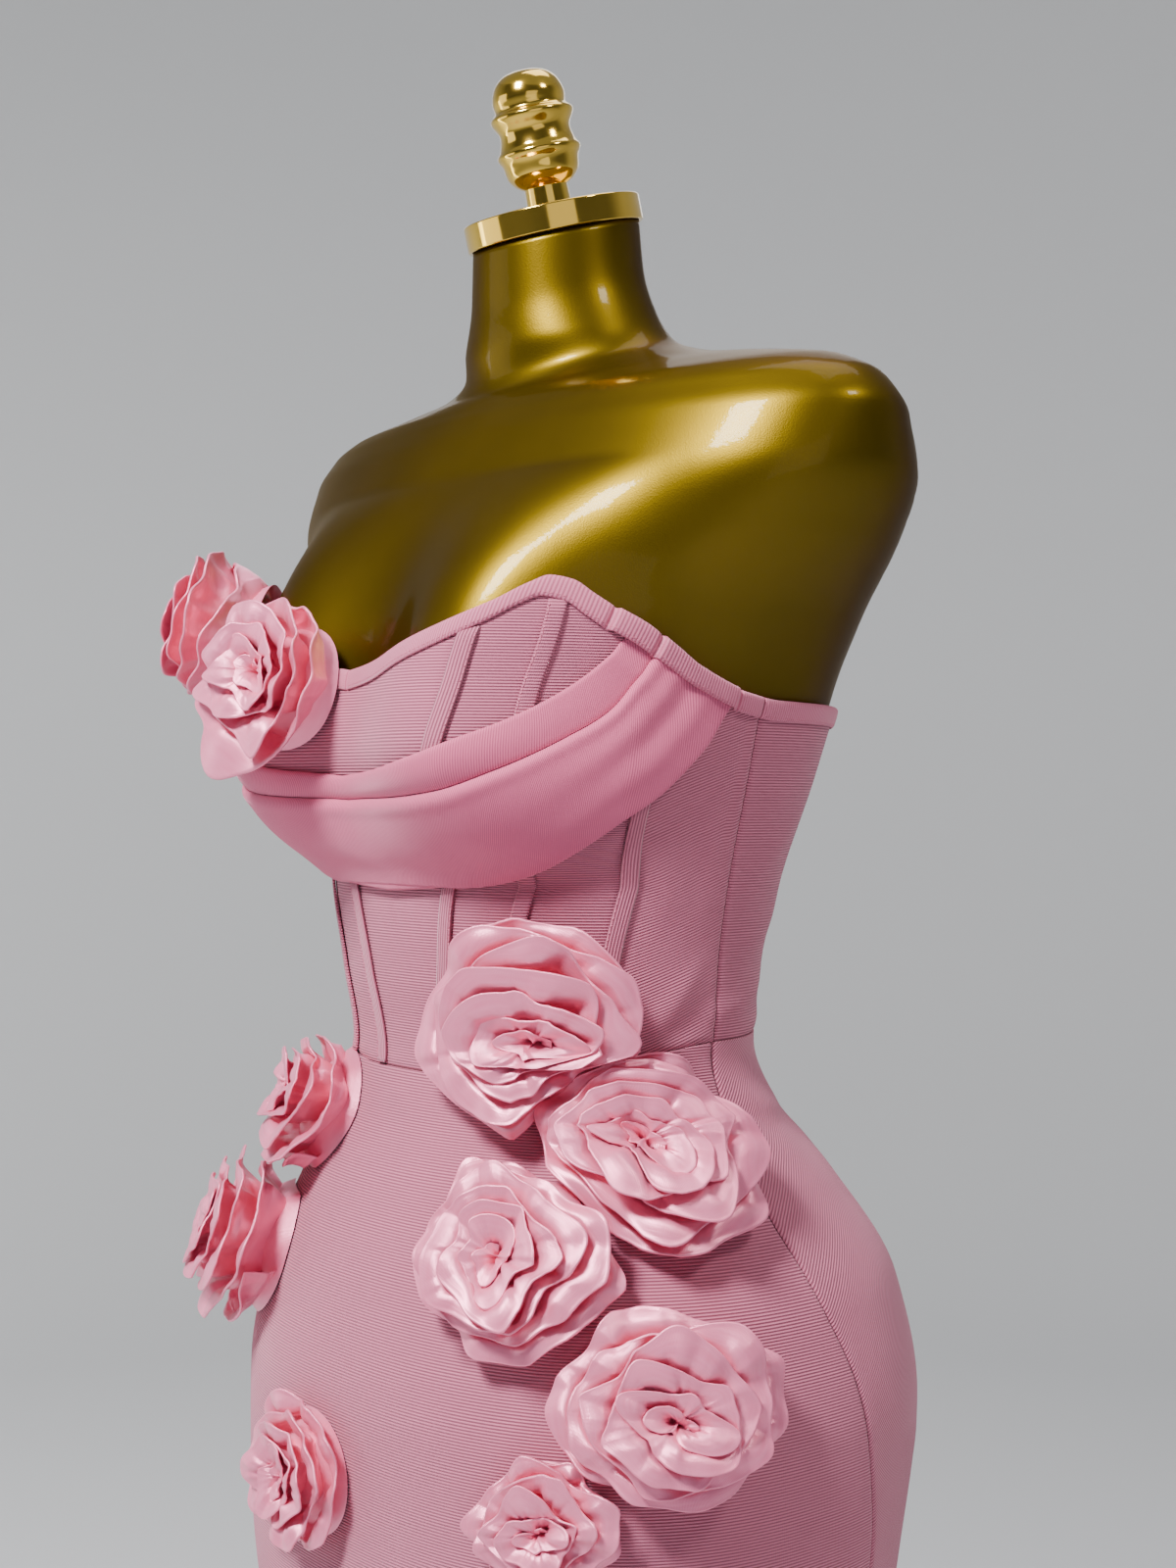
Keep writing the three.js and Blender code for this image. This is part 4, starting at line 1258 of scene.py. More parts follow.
@dataclass
class Swag:
    """The draped swag: a narrow upper fold and a broad band whose rolled edge lies over it."""

    rest: float = OUTSIDE + 1.15 + 0.8 + GAP
    wall: float = 1.5
    tuck: float = 2.4
    columns: int = 200

    def __post_init__(self) -> None:
        """Lays curves along the swag's three edges."""
        top_angle, top_z, fold_angle, fold_z, low_angle, low_z = curves(SWAG)
        self.edges = {"top": (top_angle, top_z), "fold": (fold_angle, fold_z), "low": (low_angle, low_z)}

    def edge(self, name: str, share: Array) -> tuple[Array, Array]:
        """The angle and height on an edge, from the right end at -1 to the left end at 1."""
        angle, z = self.edges[name]
        return np.sign(share) * angle(np.abs(share)), z(np.abs(share))

    def under_binding(self, share: Array) -> Array:
        """How far the swag's ends dive in, so that they pass under the binding."""
        return 3.0 * smooth(0.945, 0.995, np.abs(share))

    def tall(self, low: tuple[Array, Array], high: tuple[Array, Array]) -> Array:
        """The swag's width between two edges, in millimetres."""
        return np.hypot((high[0] - low[0]) * FIGURE.about(*low), high[1] - low[1])

    def swell(self, share: Array, v: Array) -> Array:
        """A soft bulge between the edges, which ends where the swag's ends are sewn in."""
        return np.sin(math.pi * v) * (1 - np.abs(share) ** 3)

    def band(self, u: Array, v: Array) -> tuple[Array, Array]:
        """Points on the band: u from right to left, v from its lower edge to its rolled one."""
        share = mix(-1.0, 1.0, u)
        low, high = self.edge("low", share), self.edge("fold", share)
        tall = self.tall(low, high)
        angle = mix(low[0], high[0], v)
        z = mix(low[1], high[1], v) + 3.6 * smooth(0.96, 1, np.abs(share))
        swell = 3.2 * self.swell(share, v)
        lie = mix(self.rest + 1.2, self.rest + self.tuck, v) + self.wall
        roll = 2.6 / tall
        over = np.clip((v - (1 - roll)) / roll, 0, 1)
        under = np.clip((1.6 / tall - v) / (1.6 / tall), 0, 1)
        bead = 0.7 * bell((1 - v) * tall - 3.4, 2.6)
        out = lie + swell + bead - roll_in(over, 2.7) - roll_in(under, 1.2)
        out = out + self.drape(share, v) - self.under_binding(share)
        length = share * 210
        return FIGURE.off(angle, z, out), np.stack([length, v * tall], axis=-1)

    def drape(self, share: Array, v: Array) -> Array:
        """The band's long soft folds, which start at the pleats under the binding."""
        end = np.abs(share)
        first = 0.9 * smooth(0.55, 0.93, end) * bell(v - mix(0.5, 0.74, end), 0.1)
        second = -0.7 * smooth(0.6, 0.95, end) * bell(v - mix(0.3, 0.55, end), 0.09)
        third = 0.5 * smooth(0.45, 0.9, end) * bell(v - mix(0.12, 0.34, end), 0.1)
        low = -0.9 * (1 - smooth(0.2, 0.75, end)) * bell(v - 0.3 - 0.1 * share, 0.16)
        crossing = 0.7 * np.sin(share * 23 + v * 5) * smooth(0.1, 0.5, v) * smooth(0.85, 0.3, v) * (end < 0.9)
        return first + second + third + low + crossing * 0.35

    def fold(self, u: Array, v: Array) -> tuple[Array, Array]:
        """Points on the narrow fold above the band."""
        share = mix(-1.0, 1.0, u)
        low, high = self.edge("fold", share), self.edge("top", share)
        angle = mix(low[0], high[0], v)
        z = mix(low[1] + 0.4, high[1], v) + 4.0 * smooth(0.955, 1, np.abs(share))
        tall = self.tall(low, high)
        over = np.clip((v - (1 - 2.0 / tall)) / (2.0 / tall), 0, 1)
        swell = 1.2 * self.swell(share, v)
        out = self.rest + self.wall + swell - roll_in(over, 1.5) - self.under_binding(share)
        return FIGURE.off(angle, z, out), np.stack([share * 200, v * tall], axis=-1)

    def make(self, wardrobe: Wardrobe) -> None:
        """Drapes the fold and the band."""
        across = np.linspace(0, 1, self.columns + 1)
        fold_rows = np.concatenate([np.linspace(0, 0.8, 7), [0.87, 0.92, 0.96, 0.985, 1.0]])
        band_rows = np.concatenate([[0, 0.006, 0.015, 0.028], np.linspace(0.05, 0.93, 34),
                                    [0.946, 0.96, 0.972, 0.983, 0.992, 0.998, 1.0]])
        for name, place, rows in (("swag_fold", self.fold, fold_rows), ("swag_band", self.band, band_rows)):
            piece = linked(f"{name}_cloth", laid_grid(across, rows, place), wardrobe.twill)
            dressed(walled(piece, self.wall, 0.3), Slot.KNIT, name)
            u = np.linspace(0, 1, 161)
            low, middle, high = (place(u, np.full(161, v))[0] for v in (0.0, 0.5, 1.0))


@dataclass
class CentreBackZip:
    """The centre back zip: tape, two rows of coil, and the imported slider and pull."""

    tape_half: float = 7.0
    tape_out: float = 1.25
    coil_out: float = 2.6
    pitch: float = 1.35
    tooth: tuple[float, float, float] = (1.5, 0.95, 1.5)

    def make(self, wardrobe: Wardrobe, nodes: dict[str, bpy.types.Object]) -> None:
        """Sews in the zip and finishes its metal.

        Args:
            wardrobe: The finishes.
            nodes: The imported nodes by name.
        """
        low, high = ZIP_END_Z + 1, float(neckline(np.array(180.0))) - 2.4

        def place(u: Array, v: Array) -> tuple[Array, Array]:
            z = mix(low, high, v)
            across = (u - 0.5) * 2 * self.tape_half
            turn = across / FIGURE.about(np.full(u.shape, 180.0), z)
            return FIGURE.off(180 + turn, z, np.full(u.shape, self.tape_out)), np.stack([across, z], axis=-1)

        bm = laid_grid(np.linspace(0, 1, 9), np.linspace(0, 1, 90), place)
        tape = walled(linked("zip_tape", bm, wardrobe.tape), 0.5)
        dressed(tape, Slot.ZIP_TAPE, "zip_chain")
        spots = []
        z, side = low + 1, 1
        while z < high - 1:
            about = float(FIGURE.about(np.array(180.0), np.array(z)))
            here, out = (Vector(FIGURE.off(np.array(180 + side * 0.62 / about), np.array(z), np.array(o)))
                         for o in (self.coil_out, self.coil_out + 1))
            up = Vector(FIGURE.off(np.array(180.0), np.array(z + 1), np.array(self.coil_out))) - here
            up.normalize()
            spots.append(grain_stand(here, Vector((1, 0, 0)) * self.tooth[0] / 2, up * self.tooth[1] / 2,
                                     (out - here).normalized() * self.tooth[2] / 2))
            z, side = z + self.pitch / 2, -side
        dressed(linked("zip_coil", beads(spots, 8, 5), wardrobe.coil), Slot.ZIP_TAPE, "zip_chain")
        for name in ("zip_slider", "zip_pull"):
            nodes[name].data.materials.clear()
            nodes[name].data.materials.append(wardrobe.plate)


@dataclass
class Rose:
    """One satin ribbon rose: a folded ribbon wound outwards from a flattened bud."""

    name: str
    angle: float
    z: float
    radius: float
    tall: float
    depth: float
    seat: float
    turns: float
    bud_axis: float
    heart: tuple[float, float]
    corners: float
    seed: int
    ruffled: float = 1.0
    layer: str = "skirt_front_cloth"
    crown: float = 0.0
    steps_per_turn: int = 104
    leg_rows: int = 12
    fold_rows: int = 6
    folded: float = 0.06
    knee: float = 0.22

    def scale(self) -> tuple[float, float]:
        """Millimetres round the figure for a degree, and up the cloth for a millimetre of height."""
        here = np.array(self.angle), np.array(self.z)
        return float(FIGURE.about(*here)), float(FIGURE.climb(*here))

    def on_dress(self, x: Array, y: Array, height: Array) -> Array:
        """Points at places across and up from the rose's centre and over its seat, in millimetres."""
        about, climb = self.scale()
        return FIGURE.off(self.angle + x / about, self.z + y / climb, self.seat + height)

    def reach(self, direction: Array, others: Sequence["Rose"]) -> Array:
        """The share of its radius that the rose keeps in a direction, pressed by its neighbours."""
        about, climb = self.scale()
        reach = np.full(direction.shape, float(self.radius))
        for other in others:
            if other is self:
                continue
            across, up = (other.angle - self.angle) * about, (other.z - self.z) * climb
            apart = math.hypot(across, up)
            facing = np.cos(direction - math.atan2(up, across))
            limit = (apart * self.radius / (self.radius + other.radius) - 1.2) / np.maximum(facing, 0.1)
            reach = np.where(facing > 0.1, np.minimum(reach, limit), reach)
        return np.minimum(1, reach / self.radius)

    def wobble(self, draw: random.Random, turn: Array, rates: Sequence[float]) -> Array:
        """A sum of waves along the ribbon that never fall in step from turn to turn."""
        total = np.zeros(turn.shape)
        for rate in rates:
            pace, phase = rate * draw.uniform(0.9, 1.1), draw.uniform(0, 2 * math.pi)
            total += np.sin(turn * 2 * math.pi * pace + phase) / len(rates) ** 0.5
        return total

    def creasing(self, draw: random.Random, turn: Array, rates: Sequence[float]) -> Array:
        """Narrow troughs between soft puffs, as a gathered ribbon has them."""
        total = np.zeros(turn.shape)
        for rate in rates:
            strong = 0.55 + 0.45 * self.wobble(draw, turn, (rate * 0.37,))
            swing = self.wobble(draw, turn, (rate * 0.21,)) * 0.9
            trough = 1 - np.abs(np.sin(turn * math.pi * rate + draw.uniform(0, 6) + swing))
            total += (0.3 - trough**2.2) * strong
        return total

    def edge(self, draw: random.Random, turn: Array, outer: Array) -> tuple[Array, Array]:
        """The folded edge's radius and height over the seat, along the ribbon.

        Args:
            draw: The rose's own random numbers.
            turn: Turns gone from the heart.
            outer: How much the outer turns are raised.

        Returns:
            The radii and the heights in millimetres.
        """
        grown, spin = turn / self.turns, turn * 2 * math.pi
        share = 0.12 + 0.88 * np.minimum(turn / (self.turns - 0.85), 1) ** 0.92
        stretch = 1 + 1.5 * (1 - smooth(0.12, 0.62, share))
        oval = 1 / np.sqrt(np.cos(spin) ** 2 / stretch + np.sin(spin) ** 2 * stretch)
        phase = (spin * self.corners / (2 * math.pi) + draw.uniform(0, 1)) % 1 - 0.5
        side = math.cos(math.pi / self.corners) / np.cos(phase * 2 * math.pi / self.corners) / 0.88
        waves = self.wobble(draw, turn, (1.3, 2.3, 3.7))
        ruffle = self.wobble(draw, turn, (5.3, 7.4, 10.1)) * self.ruffled
        radius = self.radius * (share * oval * mix(side, 1.0, 0.7 * grown) - 0.02)
        wide_waves = mix(1.1, 2.8, smooth(0, 0.5, grown)) * mix(1, 0.5, smooth(0.82, 1, grown))
        radius = radius + waves * wide_waves + ruffle * mix(0.2, 1.5, smooth(0.4, 1, grown))
        soft = np.array([1, 2, 3, 2, 1]) / 9
        radius = np.convolve(np.pad(radius, 2, mode="edge"), soft, mode="valid")
        profile = Curve((0, 0.12, 0.35, 0.6, 0.82, 1.0), (0.84, 0.94, 1.0, 0.84, 0.5, 0.14))
        height = self.depth * (profile(grown) + 0.42 * outer) + waves * mix(1.5, 2.6, grown)
        return radius, height + ruffle * mix(0.4, 1.9, smooth(0.3, 1, grown))

    def lower(self, grown: Array, outer: Array, inner: Sequence[Array], edge: Sequence[Array]) -> list[Array]:
        """Where the ribbon bends down beside the turn inside it, and where it is sewn.

        Args:
            grown: Shares of the way along the ribbon.
            outer: How much the outer turns are raised.
            inner: Radius and height of the edge one turn further in.
            edge: Radius and height of the edge.

        Returns:
            The bend's radius and height, then the foot's.
        """
        knee_r = np.maximum(np.minimum(inner[0] - mix(0.6, 3.0, grown), edge[0] - 2.2), 0.6)
        drop = mix(11.0, 8.5, smooth(0.1, 0.5, grown)) + 0.45 * self.depth * outer
        knee_h = np.maximum(edge[1] - drop, inner[1] - 12 - 20 * outer)
        knee_h = np.maximum(np.minimum(knee_h, inner[1] - 4), 0.9)
        face = np.hypot(edge[0] - knee_r, edge[1] - knee_h)
        foot_h = np.maximum(knee_h - np.maximum(self.depth - face, 5), 0.3)
        return [knee_r, knee_h, np.maximum(knee_r - 9, knee_r * 0.5), foot_h]

    def ribbon(self, others: Sequence["Rose"]) -> tuple[Place, float, float]:
        """The ribbon's way.

        Args:
            others: All the roses, which press on this one.

        Returns:
            The place of each share along and round the folded ribbon, its length and its folded width.
        """
        draw = random.Random(self.seed)
        steps = int(self.turns * self.steps_per_turn)
        turn = self.turns * np.linspace(0, 1, steps + 1) ** 0.68
        grown = turn / self.turns
        direction = math.radians(self.bud_axis) + turn * 2 * math.pi
        outer = self.crown * smooth(0.5, 0.92, grown)
        edge_r, edge_h = self.edge(draw, turn, outer)
        off = [self.radius * part * np.maximum(1 - grown, 0) ** 0.8 for part in self.heart]
        before = turn - 1
        inner_h = np.where(before > 0, np.interp(before, turn, edge_h), edge_h + 4)
        shift = sum((np.interp(before, turn, part) - part) * way
                    for part, way in zip(off, (np.cos(direction), np.sin(direction))))
        inner_r = np.where(before > 0, np.interp(before, turn, edge_r) + shift, edge_r * 0.3)
        tail = smooth(1.0, 0.975, grown)
        edge_r = mix(inner_r - 1, edge_r, tail)
        edge_h = np.maximum(mix(inner_h - 4, edge_h, tail), 1.5)
        knee_r, knee_h, foot_r, foot_h = self.lower(grown, outer, (inner_r, inner_h), (edge_r, edge_h))
        face = np.hypot(edge_r - knee_r, edge_h - knee_h)
        wide = face + np.hypot(knee_r - foot_r, knee_h - foot_h)
        folds = self.creasing(draw, turn, (4.6, 7.3)) * mix(1.1, 3.5, smooth(0.15, 0.75, grown))
        small = self.creasing(draw, turn, (11.0, 17.0))
        pressed = self.reach(direction, others)
        kept = edge_r * pressed
        gone = gone_by(strides(np.stack([kept * np.cos(direction), kept * np.sin(direction), edge_h], -1)))
        span = np.arange(steps + 1)

        def at(values: Array, u: Array) -> Array:
            return np.interp(u * steps, span, values)

        def place(u: Array, v: Array) -> tuple[Array, Array]:
            leg = 0.5 - self.folded
            up = np.where(v < 0.5, np.minimum(v / leg, 1), np.minimum((1 - v) / leg, 1))
            bent = np.clip((v - leg) / (2 * self.folded), 0, 1) * math.pi
            low, high = np.clip(up / self.knee, 0, 1), np.clip((up - self.knee) / (1 - self.knee), 0, 1)
            r = mix(mix(at(foot_r, u), at(knee_r, u), low), at(edge_r, u), high)
            h = mix(mix(at(foot_h, u), at(knee_h, u), low), at(edge_h, u), high)
            run, rise = at(edge_r - knee_r, u), at(edge_h - knee_h, u)
            size = np.maximum(np.hypot(run, rise), 1e-6)
            tangent = run / size, rise / size
            normal = -tangent[1], tangent[0]
            closing = smooth(0, 0.008, np.minimum(u, 1 - u))
            ply = closing * np.sqrt(np.clip(up / 0.1, 0, 1)) * mix(0.45, mix(1.0, 1.5, at(grown, u)), high**5)
            face_up = np.cos(bent) * ply / 2
            crest = np.sin(bent) * ply / 2 * (up > 0.999)
            puff = mix(1.0, 1.4 * (tangent[0] - 0.5), at(np.minimum(outer * 2, 1), u))
            belly = at(face * mix(0.17, 0.3, grown), u) * puff * np.sin(math.pi * high)
            deep = np.sin(math.pi * np.clip(0.12 + 0.75 * high, 0, 1)) * smooth(0, 0.3, up)
            lift = (at(folds, u + 0.003 * high) + at(small, u)) * deep * closing + belly
            r = r + normal[0] * (face_up + lift) + tangent[0] * crest
            h = np.maximum(h + normal[1] * (face_up + lift) + tangent[1] * crest, 0.2)
            way, push = at(direction, u), at(pressed, u)
            x = (r * np.cos(way) + at(off[0], u)) * push
            y = (r * np.sin(way) + at(off[1], u)) * push * self.tall
            flat = np.stack([at(gone, u), up * at(wide, u) * np.where(v < 0.5, 1, -1)], axis=-1)
            return self.on_dress(x, y, h), flat

        return place, float(gone[-1]), float(np.mean(wide))

    def gathered_root(self, others: Sequence["Rose"]) -> Place:
        """The ribbon's gathered lower edges, a low mound that closes the rose from below."""
        def place(u: Array, v: Array) -> tuple[Array, Array]:
            way, out = u * 2 * math.pi, np.maximum(1 - v, 0.01)
            r = out * self.radius * 0.84 * self.reach(way, others)
            h = 0.4 + 0.5 * self.depth * (1 - out**2) * (1 + 0.05 * np.sin(way * 17) * out)
            x, y = r * np.cos(way), r * np.sin(way) * self.tall
            flat = np.stack([u * self.radius * 4, r], axis=-1)
            return self.on_dress(x, y, h), flat

        return place

    def make(self, others: Sequence["Rose"], wardrobe: Wardrobe) -> bpy.types.Object:
        """Winds the rose and logs its ribbon."""
        place, long, wide = self.ribbon(others)
        steps = int(self.turns * self.steps_per_turn)
        end = 0.5 - self.folded
        leg = np.concatenate([[0, 0.05], np.linspace(end * self.knee, end, self.leg_rows)])
        fold = np.linspace(end, 1 - end, self.fold_rows + 1)[1:-1]
        rows = np.concatenate([leg, fold, 1 - leg[::-1]])
        bm = laid_grid(np.linspace(0, 1, steps + 1), rows, place)
        bmesh.ops.remove_doubles(bm, verts=bm.verts, dist=TOUCH * MM)
        bmesh.ops.dissolve_degenerate(bm, edges=bm.edges, dist=TOUCH * MM)
        bmesh.ops.recalc_face_normals(bm, faces=bm.faces)
        root = laid_grid(np.linspace(0, 1, 49), np.linspace(0, 1, 9), self.gathered_root(others))
        mesh = bpy.data.meshes.new("root")
        root.to_mesh(mesh)
        root.free()
        bm.from_mesh(mesh)
        bpy.data.meshes.remove(mesh)
        piece = dressed(linked(f"{self.name}_satin", bm, wardrobe.satin), Slot.SATIN, self.name)
        log.info("ribbon of %s: folded to %.0f mm, %.0f mm long", self.name, wide, long)
        return piece


class Posy:
    """The ten roses, each on the layer that it is sewn to."""

    def __init__(self) -> None:
        """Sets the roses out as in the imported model."""
        cloth = OUTSIDE + 2 * GAP
        casing, binding, swag = OUTSIDE + 2.4, OUTSIDE + 2.35, OUTSIDE + 3.85
        self.roses = [
            Rose("rose_waist", 45.5, 1082, 47, 1.18, 30, casing, 6.4, -12, (0.28, 0.0), 4.6, 11,
                 layer="bodice_front_side_left_cloth"),
            Rose("rose_side", 69, 1028, 44, 1.24, 30, cloth + 0.9, 6.5, -58, (-0.06, -0.13), 4.3, 22),
            Rose("rose_belly", 42, 979, 44, 1.02, 31, cloth, 6.4, 70, (-0.02, -0.04), 4.8, 33),
            Rose("rose_hip", 63.5, 926, 46.5, 0.9, 30, cloth, 6.2, -29, (0.0, -0.2), 4.4, 44),
            Rose("rose_thigh_right", -8, 866, 36, 1, 24, cloth, 5.6, 75, (0.04, 0.05), 4.7, 55),
            Rose("rose_thigh_left", 46.5, 875, 30, 1, 24, cloth, 5.2, 30, (0.06, 0.0), 4.5, 66),
            Rose("rose_hip_right", -43, 956, 44, 1, 41, cloth, 5.8, 60, (0.05, 0.08), 4.6, 77,
                 ruffled=0.6, crown=0.3),
            Rose("rose_waist_right", -42, 1027, 43, 1, 33, cloth, 5.6, 100, (0.0, 0.08), 4.4, 88,
                 ruffled=0.6, crown=0.3),
            Rose("rose_bust_inner", -22, 1240, 41, 0.86, 35, binding, 5.8, -48, (0.05, 0.05), 4.5, 99,
                 layer="binding_front_right_cloth", crown=0.4),
            Rose("rose_bust_outer", -53, 1268, 40, 0.94, 45, swag - 1.1, 6.2, 20, (0.0, 0.1), 4.7, 110,
                 layer="swag_band_cloth", crown=0.5),
        ]

    def make(self, wardrobe: Wardrobe) -> None:
        """Winds every rose."""
        for rose in self.roses:
            rose.make(self.roses, wardrobe)


def spun(profile: Sequence[tuple[float, float]], steps: int, merge: float) -> bmesh.types.BMesh:
    """A line turned once round the Z axis.

    Args:
        profile: Radius and height pairs in metres.
        steps: How many steps the full turn has.
        merge: How close points are joined, in metres.

    Returns:
        The smooth surface.
    """
    bm = bmesh.new()
    verts = [bm.verts.new((r, 0, h)) for r, h in profile]
    edges = [bm.edges.new(pair) for pair in zip(verts, verts[1:])]
    bmesh.ops.spin(bm, geom=[*verts, *edges], cent=(0, 0, 0), axis=(0, 0, 1), angle=2 * math.pi,
                   steps=steps, use_merge=True)
    bmesh.ops.remove_doubles(bm, verts=bm.verts, dist=merge)
    bmesh.ops.recalc_face_normals(bm, faces=bm.faces)
    for face in bm.faces:
        face.smooth = True
    return bm


def turned(name: str, profile: Sequence[tuple[float, float]], steps: int, lie: Matrix,
           material: bpy.types.Material, edge: float) -> bpy.types.Object:
    """A turned piece with eased edges.

    Args:
        name: The piece's name.
        profile: Radius and height pairs in millimetres, from axis to axis or back to the first.
        steps: How many steps the full turn has.
        lie: Where the piece stands, in metres.
        material: Its finish.
        edge: The easing of its edges, in millimetres.

    Returns:
        The piece.
    """
    bm = spun([(r * MM, h * MM) for r, h in profile], steps, 0.001 * MM)
    bmesh.ops.transform(bm, matrix=lie, verts=bm.verts)
    piece = linked(name, bm, material)
    eased(piece, edge, 3, 35).harden_normals = True
    return piece


@dataclass
class DressForm:
    """The glossy torso with its neck cap and finial."""

    columns: int = 128
    cap_radius: float = 45.6
    cap_height: float = 13.6
    finial: tuple[tuple[float, float], ...] = (
        (0, 0), (13, 0), (11.4, 2), (11, 12), (14.5, 14), (18.4, 19), (19.5, 25), (21.5, 29.3),
        (19.5, 32.5), (18, 39.7), (21.3, 47.8), (18, 51.5), (18.6, 56), (16.8, 62.5), (12, 67.8),
        (6, 70), (0, 70.5),
    )

    def torso(self, wardrobe: Wardrobe) -> bpy.types.Object:
        """The torso: smooth sections from mid thigh to the neck, closed flat at both ends."""
        bottom, top = FORM_BOTTOM_Z, SECTIONS[-1][0]
        heights = np.concatenate([np.linspace(bottom, 1225, 110), np.linspace(1228, 1380, 52),
                                  np.linspace(1382, 1428, 26), np.linspace(1432, top, 14)])
        shares_up = (heights - bottom) / (top - bottom)

        def place(u: Array, v: Array) -> tuple[Array, Array]:
            z = mix(bottom, top, v)
            angle = mix(-180, 180, u)
            out = -COVERED * smooth(DRESS_TOP_Z, 1208, z)
            return FIGURE.off(angle, z, out, FORM_CUP), np.stack([angle, z], axis=-1)

        bm = laid_grid(np.linspace(0, 1, self.columns + 1), shares_up, place)
        bmesh.ops.remove_doubles(bm, verts=bm.verts, dist=TOUCH * MM)
        rims = [edge for edge in bm.edges if edge.is_boundary]
        caps = bmesh.ops.holes_fill(bm, edges=rims, sides=0)
        for face in caps["faces"]:
            face.smooth = False
        bmesh.ops.recalc_face_normals(bm, faces=bm.faces)
        return dressed(linked(TORSO, bm, wardrobe.paint), Slot.FORM_PAINT, "form_torso")

    def make(self, wardrobe: Wardrobe) -> None:
        """Builds the torso, the cap and the finial."""
        self.torso(wardrobe)
        top_z, tilt = SECTIONS[-1][0], SECTIONS[-1][7]
        ends = FIGURE.point(np.array([0.0, 180.0]), np.array([top_z, top_z], float), FORM_CUP)
        lie = Matrix.Translation(Vector(ends.mean(axis=0)) * MM) @ Matrix.Rotation(math.radians(tilt), 4, "X")
        r, high = self.cap_radius, self.cap_height
        cap = ((0, GAP), (r, GAP), (r, high), (0, high))
        dressed(turned("neck_cap_polished", cap, 128, lie, wardrobe.plate, 1.0), Slot.GOLD_PLATE, "neck_cap")
        profile = Curve([h for _, h in self.finial[3:-1]], [r for r, _ in self.finial[3:-1]])
        fine = [*self.finial[:3], *((float(profile(h)), h) for h in np.linspace(12, 69.4, 56)), (0, 70.5)]
        raised = [(r, h + high + GAP) for r, h in fine]
        dressed(turned("finial_polished", raised, 72, lie, wardrobe.plate, 0.3), Slot.GOLD_PLATE, "finial")


@dataclass
class PoleStand:
    """The socket under the torso, the pole and the round base."""

    radius: float = 14
    base_radius: float = 178
    base_wall: float = 9

    def make(self, wardrobe: Wardrobe) -> None:
        """Turns the three pieces."""
        top = FORM_BOTTOM_Z - GAP
        bore = self.radius + GAP
        socket = ((bore, top - 46), (19, top - 46), (19, top - 6), (38, top - 6), (38, top), (bore, top),
                  (bore, top - 46))
        pole = ((0, self.base_wall + GAP), (self.radius, self.base_wall + GAP), (self.radius, top), (0, top))
        rim, wall = self.base_radius, self.base_wall
        base = ((0, 0), (rim, 0), (rim, 4.5), (rim - 0.8, 6.6), (rim - 2.4, 8.1), (rim - 5, wall), (30, wall),
                (22, 22), (bore, 22), (bore, wall), (0, wall))
        for name, profile, steps, edge in (("pole_socket", socket, 72, 0.6), ("pole", pole, 64, 0.2),
                                           ("base_plate", base, 160, 0.5)):
            piece = turned(f"{name}_plated", profile, steps, Matrix.Identity(4), wardrobe.plate, edge)
            dressed(piece, Slot.GOLD_PLATE, name)


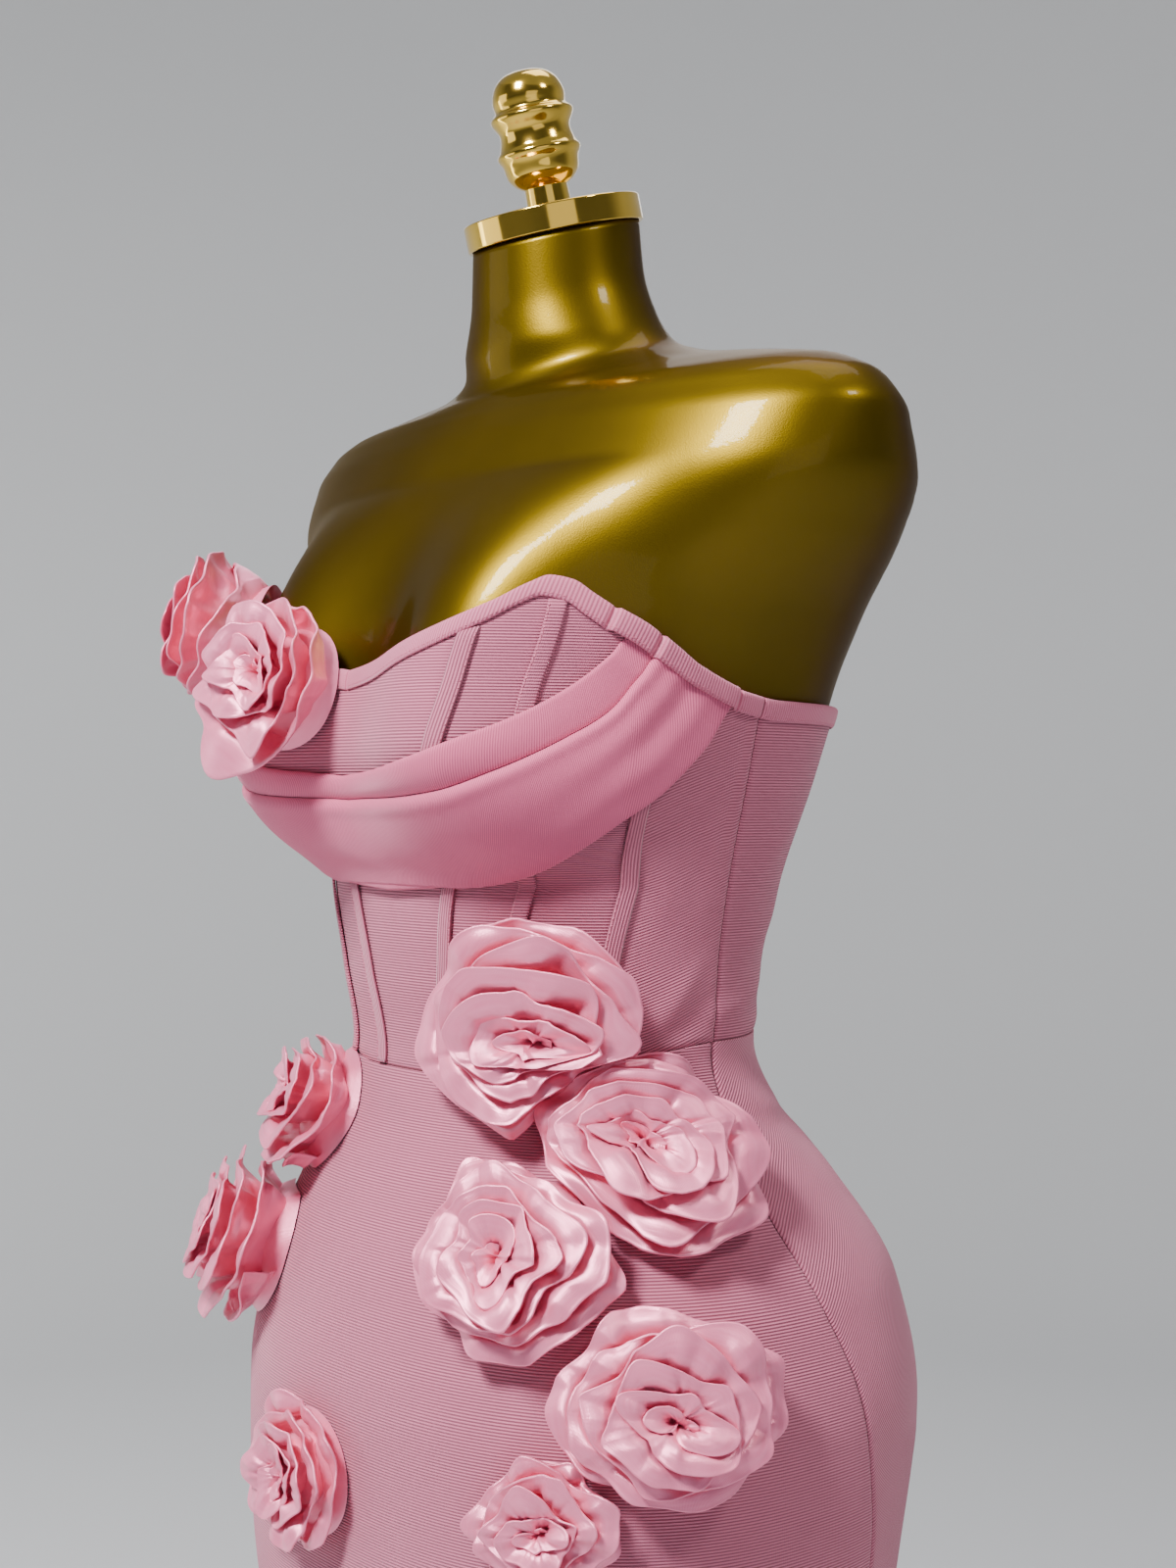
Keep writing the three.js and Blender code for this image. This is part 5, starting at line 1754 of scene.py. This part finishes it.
@dataclass
class Studio:
    """A plain round sweep of pale floor and wall, soft lights and the camera."""

    lens: float = 47.7
    camera_at: tuple[float, float, float] = (0.8258, -0.6651, 1.192)
    shift_up: float = 0.003125
    floor_radius: float = 5.0
    corner: float = 1.6
    wall_top: float = 5.5
    exposure_key: float = 40

    def sweep(self, wardrobe: Wardrobe) -> None:
        """The floor and the wall in one curved sweep all round."""
        flat = self.floor_radius - self.corner
        arc = [(flat + self.corner * math.sin(a), self.corner * (1 - math.cos(a)))
               for a in np.linspace(0, math.pi / 2, 12)]
        line = [(0.0, 0.0), (flat / 2, 0.0), *arc, (self.floor_radius, self.wall_top)]
        bm = spun(line, 96, 1e-5)
        for face in bm.faces:
            if face.normal.z < -0.5 or face.normal.dot(face.calc_center_median().normalized()) > 0.2:
                face.normal_flip()
        linked("studio_sweep", bm, wardrobe.backdrop)

    def light(self, name: str, azimuth: float, elevation: float, distance: float, size: float,
              power: float, colour: str) -> None:
        """One square soft light that faces the bust.

        Args:
            name: The light's name.
            azimuth: Degrees round from the camera, towards the wearer's left.
            elevation: Degrees above the bust.
            distance: Metres from the bust.
            size: Its side in metres.
            power: Watts.
            colour: Its sRGB colour.
        """
        a, e = math.radians(VIEW_AZIMUTH + azimuth), math.radians(elevation)
        way = Vector((math.sin(a) * math.cos(e), -math.cos(a) * math.cos(e), math.sin(e)))
        self.lamp(name, Vector((0, 0, 1.15)) + way * distance, way, size, power, colour)

    def wash(self) -> None:
        """A light on the wall behind the part, out of the picture."""
        a = math.radians(VIEW_AZIMUTH)
        back = Vector((-math.sin(a), math.cos(a), 0))
        side = Vector((-math.cos(a), -math.sin(a), 0))
        stand = back * 0.9 + side * 2.6 + Vector((0, 0, 0.4))
        target = back * 5 + side * 0.8 + Vector((0, 0, 0.9))
        self.lamp("wall_wash", stand, stand - target, 2.5, self.exposure_key * 2.6, "#ffffff")

    def lamp(self, name: str, stand: Vector, away: Vector, size: float, power: float, colour: str) -> None:
        """A square soft light that stands in metres and shines against the way given."""
        data = bpy.data.lights.new(name, "AREA")
        data.size = size
        data.energy = power
        data.color = linear(colour)[:3]
        lamp = bpy.data.objects.new(name, data)
        lamp.location = stand
        lamp.rotation_euler = away.to_track_quat("Z", "Y").to_euler()
        bpy.context.scene.collection.objects.link(lamp)

    def make(self, wardrobe: Wardrobe) -> None:
        """Sets the sweep, the lights, the sky and the camera."""
        self.sweep(wardrobe)
        key = self.exposure_key
        self.light("key_above_left", -36, 44, 2.4, 0.5, key * 3.3, "#fdf8fc")
        self.light("key_above_right", 50, 44, 2.4, 0.35, key * 0.45, "#fff8f2")
        self.light("fill_front", 12, 2, 3.2, 2.0, key * 0.3, "#f6f1ff")
        self.light("fill_left", -88, 8, 2.8, 1.6, key * 0.35, "#fdf8fc")
        self.light("overhead", 140, 76, 2.6, 1.4, key * 0.6, "#fdf8ff")
        self.light("back_fill", 178, 34, 3.2, 1.6, key * 0.4, "#f4f6ff")
        self.wash()
        world = bpy.data.worlds.new("studio_air")
        world.use_nodes = True
        background = world.node_tree.nodes["Background"]
        background.inputs["Color"].default_value = linear("#e8ebef")
        background.inputs["Strength"].default_value = 0.4
        bpy.context.scene.world = world
        data = bpy.data.cameras.new("camera")
        data.lens = self.lens
        data.shift_y = self.shift_up
        camera = bpy.data.objects.new("camera", data)
        camera.location = self.camera_at
        camera.rotation_euler = (math.pi / 2, 0, math.radians(VIEW_AZIMUTH))
        bpy.context.scene.collection.objects.link(camera)
        bpy.context.scene.camera = camera


def main() -> None:
    """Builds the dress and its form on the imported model."""
    logging.basicConfig(level=logging.INFO, format="%(name)s: %(message)s")
    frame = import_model()
    wardrobe = Wardrobe()
    Studio().make(wardrobe)
    DressForm().make(wardrobe)
    PoleStand().make(wardrobe)
    bodice = Bodice()
    for panel in [*bodice.panels(), *Skirt().panels()]:
        panel.make(wardrobe)
    NeckBinding().make(wardrobe)
    Casings(bodice).make(wardrobe)
    Swag().make(wardrobe)
    CentreBackZip().make(wardrobe, frame["nodes"])
    Posy().make(wardrobe)


if __name__ == "__main__":
    main()
